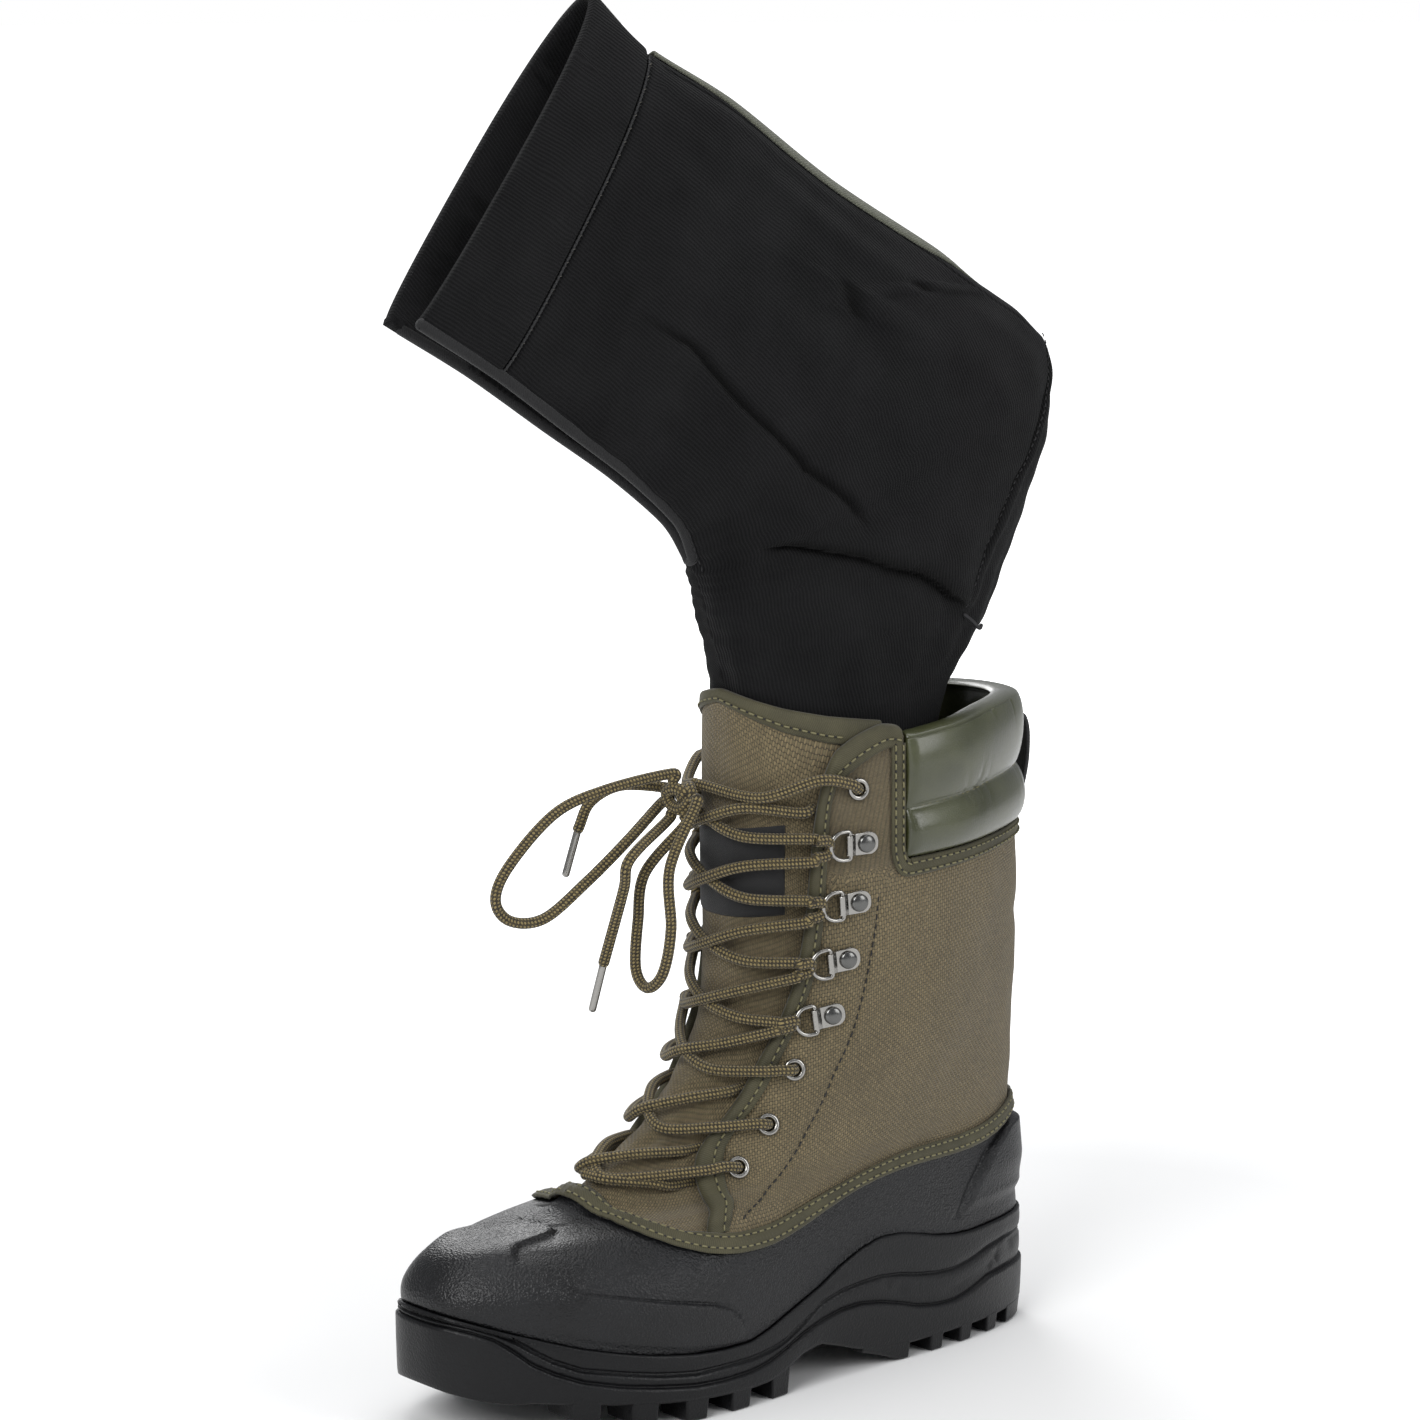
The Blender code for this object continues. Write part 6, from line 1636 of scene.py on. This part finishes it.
def smooth_table(table, k):
    """Columns of a table at fractional rows, by a Catmull-Rom curve through its rows."""
    p = np.concatenate([[2 * table[0] - table[1]], table, [2 * table[-1] - table[-2]]])
    i = np.clip(k.astype(int), 0, len(table) - 2)
    return cubic(p[i], p[i + 1], p[i + 2], p[i + 3], (k - i)[:, None])


def bootie_place(k, share):
    """Points of the bootie's outside at rows k and shares round the loop from the front."""
    k, share = np.broadcast_arrays(np.asarray(k, float), np.asarray(share, float))
    t = smooth_table(BOOTIE, k.ravel()).reshape(k.shape + (5,))
    t = t * 0.8 + 0.2 * np.stack([np.interp(k, range(len(BOOTIE)), BOOTIE[:, c]) for c in range(5)], -1)
    front = np.stack([0 * k, t[..., 0] * LENGTH + BOOTIE_LEAN, t[..., 1] * HEIGHT], -1)
    back = np.stack([0 * k, t[..., 2] * LENGTH + BOOTIE_LEAN, t[..., 3] * HEIGHT], -1)
    mid, reach = (front + back) / 2, (back - front) / 2
    spread = np.clip(1 - k / SLIT_ROWS, 0, 1)
    gap = SLIT_SHARE * spread
    th = 2 * np.pi * (gap / 2 + (1 - gap) * share)
    c, s = np.cos(th), np.sin(th)
    power = np.where(c > 0, 0.9 - SLIT_SQUARE * spread, 0.9)
    p = mid - reach * (np.sign(c) * np.abs(c) ** 0.9)[..., None]
    p[..., 0] = t[..., 4] * WIDTH * np.sign(s) * np.abs(s) ** power
    return p


def fold_line(k, share, line, wide):
    """How near each place is to a fold's line: 1 on it, falling over wide (in shares), less toward its ends; and
    on which side of it the place is."""
    line = np.array(line)
    q = np.stack([k * 0.055, share], -1)
    best, side, run = np.full(k.shape, 9.0), np.zeros(k.shape), np.zeros(k.shape)
    total = len(line) - 1
    for n in range(total):
        a, b = line[n] * (0.055, 1), line[n + 1] * (0.055, 1)
        d = b - a
        t = np.clip(((q - a) @ d) / (d @ d), 0, 1)
        away = q - a - t[..., None] * d
        far = np.linalg.norm(away, axis=-1)
        cross = d[0] * away[..., 1] - d[1] * away[..., 0]
        closer = far < best
        best = np.where(closer, far, best)
        side = np.where(closer, np.sign(cross), side)
        run = np.where(closer, (n + t) / total, run)
    ends = ease(run, 0.0, 0.22) * ease(-run, -1.0, -0.78)
    return np.exp(-(best / wide) ** 2) * ends, side


def heel_line(k):
    """Share round the loop of the heel's seam at row k."""
    return np.interp(k, *np.transpose(HEEL_SEAM))


def bootie_relief(k, share):
    """Height of the cloth over the smooth form: puffed leg, creases, the gusset's piping, the edge's binding and
    the doubled cuff."""
    near = np.minimum(share, 1 - share)
    back = ease(near, 0.42, 0.45) * ease(-k, -4.8, -4.3)
    h = 0.0011 * wobble(k.shape, 23, 70, 40) * ease(k, 0.8, 2.0) * (1 - back)
    for line, deep, wide in ((LONG_FOLD, 0.0030, 0.0042), (SHORT_FOLD, 0.0022, 0.005), (DIMPLE, 0.0026, 0.010)):
        trough = fold_line(k, share, line, wide)[0]
        swell = fold_line(k, share, line, wide * 6)[0]
        h += 0.0012 * swell - deep * trough
    trough, side = fold_line(k, near, FOOT_FOLD, 0.007)
    above = fold_line(k, near, FOOT_FOLD, 0.045)[0]
    h += np.where(side > 0, 0.0032, -0.0014) * above - 0.0026 * trough
    gusset = 0.452 - 0.016 * ease(k, 3.4, 4.6)
    h -= 0.0009 * np.exp(-((near - gusset) / 0.0035) ** 2) * between(k, 1.1, 4.9, 0.3)
    h -= 0.0011 * fold_line(k, near, HEEL_SEAM, 0.004)[0]
    h += 0.0010 * np.exp(-((near - heel_line(k) - 0.013) / 0.007) ** 2) * between(k, 4.9, 7.9, 0.25)
    h += 0.0010 * ease(-k, -1.03, -0.97)
    h -= 0.0013 * np.exp(-((k - 1.03) / 0.035) ** 2)
    edge = near * loop_length(k)
    h += 0.0007 * ease(-edge, -0.0068, -0.0058) * ease(-k, -SLIT_ROWS - 0.3, -SLIT_ROWS + 0.1)
    return h


def crease_depth(k, share):
    """How deep in a crease each place lies, 0 to 1, for the painted shade that darkens the knit's colour there."""
    near = np.minimum(share, 1 - share)
    lines = ((share, LONG_FOLD, 0.0045), (share, SHORT_FOLD, 0.005), (share, DIMPLE, 0.008),
             (near, FOOT_FOLD, 0.006), (near, HEEL_SEAM, 0.003))
    return np.max([fold_line(k, place, line, wide)[0] for place, line, wide in lines], axis=0)


def loop_length(k):
    """Length of the bootie's loop at row k, near enough for the width of a binding."""
    return np.interp(k, [0, 2, 4, 6, 9], [0.345, 0.36, 0.40, 0.38, 0.29])


def bootie():
    """The padded knit as one sheet, finer over the leg that shows than inside the shaft, closed down the front
    below the slit."""
    k = np.concatenate([np.linspace(a, b, count)[:-1] for a, b, count in ((0, 1.2, 60), (1.2, 9.3, 300))]
                       + [np.linspace(9.3, 14.96, 62)])
    kk, ss = np.meshgrid(k, np.linspace(0, 1, 520))
    base = bootie_place(kk, ss)
    du, dv = np.gradient(base, axis=0), np.gradient(base, axis=1)
    normal = unit(np.cross(du, dv) + 1e-12)
    centre = base.mean(0, keepdims=True)
    normal *= np.sign(np.sum(normal * (base - centre), -1).mean())
    height = bootie_relief(kk, ss) * (1 - 0.9 * ease(kk, 8.8, 9.4))
    points = base + normal * height[..., None]
    closed = kk > SLIT_ROWS
    seam = (points[0] + points[-1]) / 2
    points[0] = np.where(closed[0][:, None], seam, points[0])
    points[-1] = np.where(closed[0][:, None], seam, points[-1])
    piece = surface("knit_bootie", points)
    # painted shade: this attribute holds how deep each place lies in a crease, and it darkens the knit's colour there
    shadow = piece.data.attributes.new("crease", "FLOAT", "POINT")
    shadow.data.foreach_set("value", crease_depth(kk, ss).astype(np.float32).ravel())
    tidy(piece, 0.00001, outward=True)
    flip_outward(piece, (0.0, -0.12, 0.40))
    lighten(piece, 0.172)
    give_wall(piece, BOOTIE_WALL)
    return piece


def flip_outward(piece, inside):
    """Turns an open sheet's faces away from a point inside it."""
    mesh = piece.data
    total = sum((face.center - Vector(inside)).dot(face.normal) * face.area for face in mesh.polygons)
    if total < 0:
        mesh.flip_normals()
    return piece


def knit():
    """Black knit: fine ribs round the loop at the cuff's and foot's pitch, with pile and a few pale hairs; the rib
    tops are painted paler as a painted highlight, and the creases are darkened as painted shade.
    """
    material, tree, shader = start_material("black rib knit", 0.95, Sheen_Weight=0.03, Sheen_Roughness=0.5,
                                            Specular_IOR_Level=0.16)
    cut = add_node(tree, "UVMap", {"uv_map": "cut"}).outputs[0]
    parts = add_node(tree, "SeparateXYZ", Vector=cut).outputs
    place = add_node(tree, "TexCoord").outputs["Object"]
    bend = add_node(tree, "TexNoise", Vector=place, Scale=30.0, Detail=2.0).outputs[0]
    across = math_node(tree, "ADD", parts[0], math_node(tree, "MULTIPLY", bend, 0.004))
    ribs = math_node(tree, "SINE", math_node(tree, "MULTIPLY", across, 2 * math.pi / 0.0016))
    loops = math_node(tree, "SINE", math_node(tree, "MULTIPLY", parts[1], 2 * math.pi / 0.0009))
    pile = add_node(tree, "TexNoise", Vector=place, Scale=1100.0, Detail=5.0, Roughness=0.75).outputs[0]
    cloud = add_node(tree, "TexNoise", Vector=place, Scale=34.0, Detail=4.0).outputs[0]
    rib = span(tree, ribs, -1.0, 1.0, 0.0, 0.8)
    height = math_node(tree, "ADD", math_node(tree, "ADD", rib, span(tree, loops, -1.0, 1.0, 0.0, 0.22)),
                       math_node(tree, "MULTIPLY", pile, 0.9))
    hair = span(tree, pile, 0.66, 0.80, 0.0, 0.5)
    # painted highlight: the rib tops are mixed toward the paler grey, together with the pale hairs
    pale = math_node(tree, "ADD", hair, math_node(tree, "MULTIPLY", rib, 0.55))
    mask = math_node(tree, "ADD", span(tree, cloud, 0.3, 0.7, 0.0, 0.4), pale)
    cloth = blend_colours(tree, mask, shade("060607"), shade("1d1d1e"))
    # painted shade: the crease attribute blends the colour toward near black inside the creases
    crease = add_node(tree, "Attribute", {"attribute_name": "crease"}).outputs["Fac"]
    tree.links.new(blend_colours(tree, crease, cloth, shade("020202")), shader.inputs["Base Color"])
    bump(tree, shader, height, 0.0005, 0.8)
    return material


KNIT = knit()
finish(bootie(), KNIT, "bootie_knit", "bootie_cuff", "bootie_leg", "bootie_foot")


def bootie_line(k, share, off):
    """Points on the bootie with outward normals, for what is sewn on it."""
    k, share = np.asarray(k, float), np.asarray(share, float)
    p = bootie_place(k, share)
    e = 0.002
    a = bootie_place(k, np.clip(share + e, 0, 1)) - bootie_place(k, np.clip(share - e, 0, 1))
    b = bootie_place(k + 0.01, share) - bootie_place(np.maximum(k - 0.01, 0), share)
    n = unit(np.cross(a, b))
    n = n * np.sign(n[:, :1] * p[:, :1] + 1e-9) if np.ptp(share) < 0.4 else n
    return p + n * (off + bootie_relief(k[None], share[None])[0][:, None]), n


def gusset():
    """The grey-olive strip that shows along the back edge, between the cuff's seam and the heel."""
    k = np.linspace(1.12, 4.40, 90)
    wide = (0.020 + 0.034 * ease(k, 1.1, 2.6)) * (1 - 0.85 * ease(k, 3.6, 4.4))
    across = np.linspace(-1, 1, 13)
    grid = np.stack([bootie_place(k, 0.5 + s * wide) for s in across], 1)
    back = unit(np.array([0.0, 0.66, 0.75]))
    crown = (0.0012 + 0.0016 * (1 - across ** 2))[None] * (1 - 0.9 * ease(k, 3.8, 4.4))[:, None]
    return surface("back_gusset", grid + back * crown[..., None], wall=0.0009)


GUSSET = woven("grey olive lining cloth", "6d6f60", "55574a", "34352c", 0.0008, 0.0002, 0.9)
finish(gusset(), GUSSET, "bootie_knit")


def edge_binding():
    """Bound edge of the slit: a soft round tape along both sides that turns under in a U."""
    k = np.linspace(0.02, SLIT_ROWS + 0.12, 240)
    one = bootie_place(k, np.full_like(k, 0.004))
    other = bootie_place(k, np.full_like(k, 0.996))
    path = np.concatenate([one, other[::-1]])
    inward = unit(bootie_place(k, np.full_like(k, 0.10)) - one)
    inward = np.concatenate([inward, unit(bootie_place(k, np.full_like(k, 0.90)) - other)[::-1]])
    path = spline(path[::8] + inward[::8] * 0.0010, 420)
    return closed_tube("slit_binding", path, 0.00265, 14)


BINDING = tape_cloth("black edge binding", "121214", "08080a", 0.0011, 0.8)
finish(edge_binding(), BINDING, "bootie_knit")
SLIT_K = np.linspace(0.05, SLIT_ROWS + 0.9, 300)
slit_share = 0.0078 / loop_length(SLIT_K)
edge_rows = [bootie_line(SLIT_K, slit_share, 0.0002), bootie_line(SLIT_K, 1 - slit_share, 0.0002)]
cuff_share = np.linspace(0.012, 0.46, 260)
cuff_rows = [bootie_line(np.full_like(w, 1.03), w, 0.0010) for w in (cuff_share, 1 - cuff_share)]
heel_k = np.linspace(HEEL_SEAM[0][0], HEEL_SEAM[-1][0], 160)
heel_rows = [bootie_line(heel_k, w, 0.0007) for w in (heel_line(heel_k), 1 - heel_line(heel_k))]
finish(stitches("bootie_stitches", edge_rows + heel_rows, step=0.0034, long=0.0022, size=0.00028), DARK_THREAD_AND_HOLE_SHADE,
       "bootie_knit")
finish(stitches("cuff_seam_stitches", cuff_rows, step=0.0021, long=0.0026, size=0.00070, sink=0.1), DARK_THREAD_AND_HOLE_SHADE,
       "bootie_knit")
# short pale stitches raised over the dark cuff seam as flecks
PALE_THREAD = sewing_thread("pale fleck thread", "56534c", 0.8)
finish(stitches("cuff_seam_flecks", cuff_rows, step=0.0063, long=0.0017, size=0.00044, sink=-1.1), PALE_THREAD,
       "bootie_knit")


def thread_tail():
    """The long end of the heel seam's thread, a little frayed bundle."""
    start = bootie_line(np.array([7.9, 7.95]), np.array([0.335, 0.335]), 0.0008)[0][0]
    hang = [(0.0, 0.0, 0.0), (0.002, 0.003, -0.003), (0.003, 0.006, -0.006), (0.002, 0.008, -0.005)]
    return closed_tube("seam_tail", spline(start + np.array(hang), 24), 0.0009, 8)


finish(thread_tail(), DARK_THREAD_AND_HOLE_SHADE, "bootie_knit")


# Stage
# A plain pale floor, soft studio lights from both sides and above, and the photograph's camera, found from the
# boot's outline.
def floor():
    """A wide matt floor just under the lugs, which glows white to the camera away from the boot."""
    corners = [(40 * x, 40 * y, -0.0002) for x, y in ((-1, -1), (1, -1), (1, 1), (-1, 1))]
    piece = mesh_from("floor", corners, [(0, 1, 2, 3)])
    material, tree, shader = start_material("pale floor", 0.9, Specular_IOR_Level=0.2,
                                            Base_Color=(0.90, 0.90, 0.90, 1.0), Emission_Strength=1.0)
    spot = add_node(tree, "TexCoord").outputs["Object"]
    away = add_node(tree, "VectorMath", {"operation": "LENGTH"}, Vector=spot).outputs["Value"]
    seen = add_node(tree, "LightPath").outputs["Is Camera Ray"]
    glow = math_node(tree, "MULTIPLY", span(tree, away, 0.30, 1.3, 0.0, 1.0), seen)
    tree.links.new(blend_colours(tree, glow, shade("000000"), shade("ffffff")), shader.inputs["Emission Color"])
    piece.data.materials.append(material)


def lamp(name, place, aim, size, power):
    """A soft white rectangular light at place, turned toward aim."""
    light = bpy.data.lights.new(name, "AREA")
    light.shape = "RECTANGLE"
    light.size, light.size_y = size
    light.energy = power
    item = bpy.data.objects.new(name, light)
    item.location = place
    item.rotation_euler = (Vector(aim) - Vector(place)).to_track_quat("-Z", "Y").to_euler()
    bpy.context.scene.collection.objects.link(item)


floor()
lamp("key from the toe side", (0.9, -2.2, 1.7), (0.0, -0.1, 0.25), (1.3, 1.3), 42)
lamp("fill from the heel side", (2.3, 0.9, 1.2), (0.0, 0.0, 0.25), (1.2, 1.6), 22)
lamp("top", (-0.3, 0.2, 2.4), (0.0, -0.05, 0.3), (1.8, 1.8), 26)
lamp("rim from behind", (-1.8, 0.8, 1.3), (0.0, 0.0, 0.35), (0.8, 1.4), 16)
world = bpy.data.worlds.new("studio") if bpy.context.scene.world is None else bpy.context.scene.world
bpy.context.scene.world = world
world.use_nodes = True
sky = world.node_tree
plain = sky.nodes["Background"]
plain.inputs[0].default_value = (0.95, 0.97, 1.0, 1.0)
plain.inputs[1].default_value = 0.34
seen = sky.nodes.new("ShaderNodeBackground")
seen.inputs[0].default_value = (1.0, 1.0, 1.0, 1.0)
seen.inputs[1].default_value = 1.0
choose = sky.nodes.new("ShaderNodeMixShader")
sky.links.new(sky.nodes.new("ShaderNodeLightPath").outputs["Is Camera Ray"], choose.inputs[0])
sky.links.new(plain.outputs[0], choose.inputs[1])
sky.links.new(seen.outputs[0], choose.inputs[2])
sky.links.new(choose.outputs[0], sky.nodes["World Output"].inputs[0])
lens = bpy.data.cameras.new("photo camera")
lens.sensor_width = 36.0
lens.lens = 119.15
lens.clip_start = 0.05
lens.clip_end = 50.0
camera = bpy.data.objects.new("photo camera", lens)
camera.location = (1.535, -1.368, 0.603)
camera.rotation_euler = (math.radians(81.0), 0.0, math.radians(51.0))
bpy.context.scene.collection.objects.link(camera)
bpy.context.scene.camera = camera
bpy.context.scene.view_settings.view_transform = "Standard"
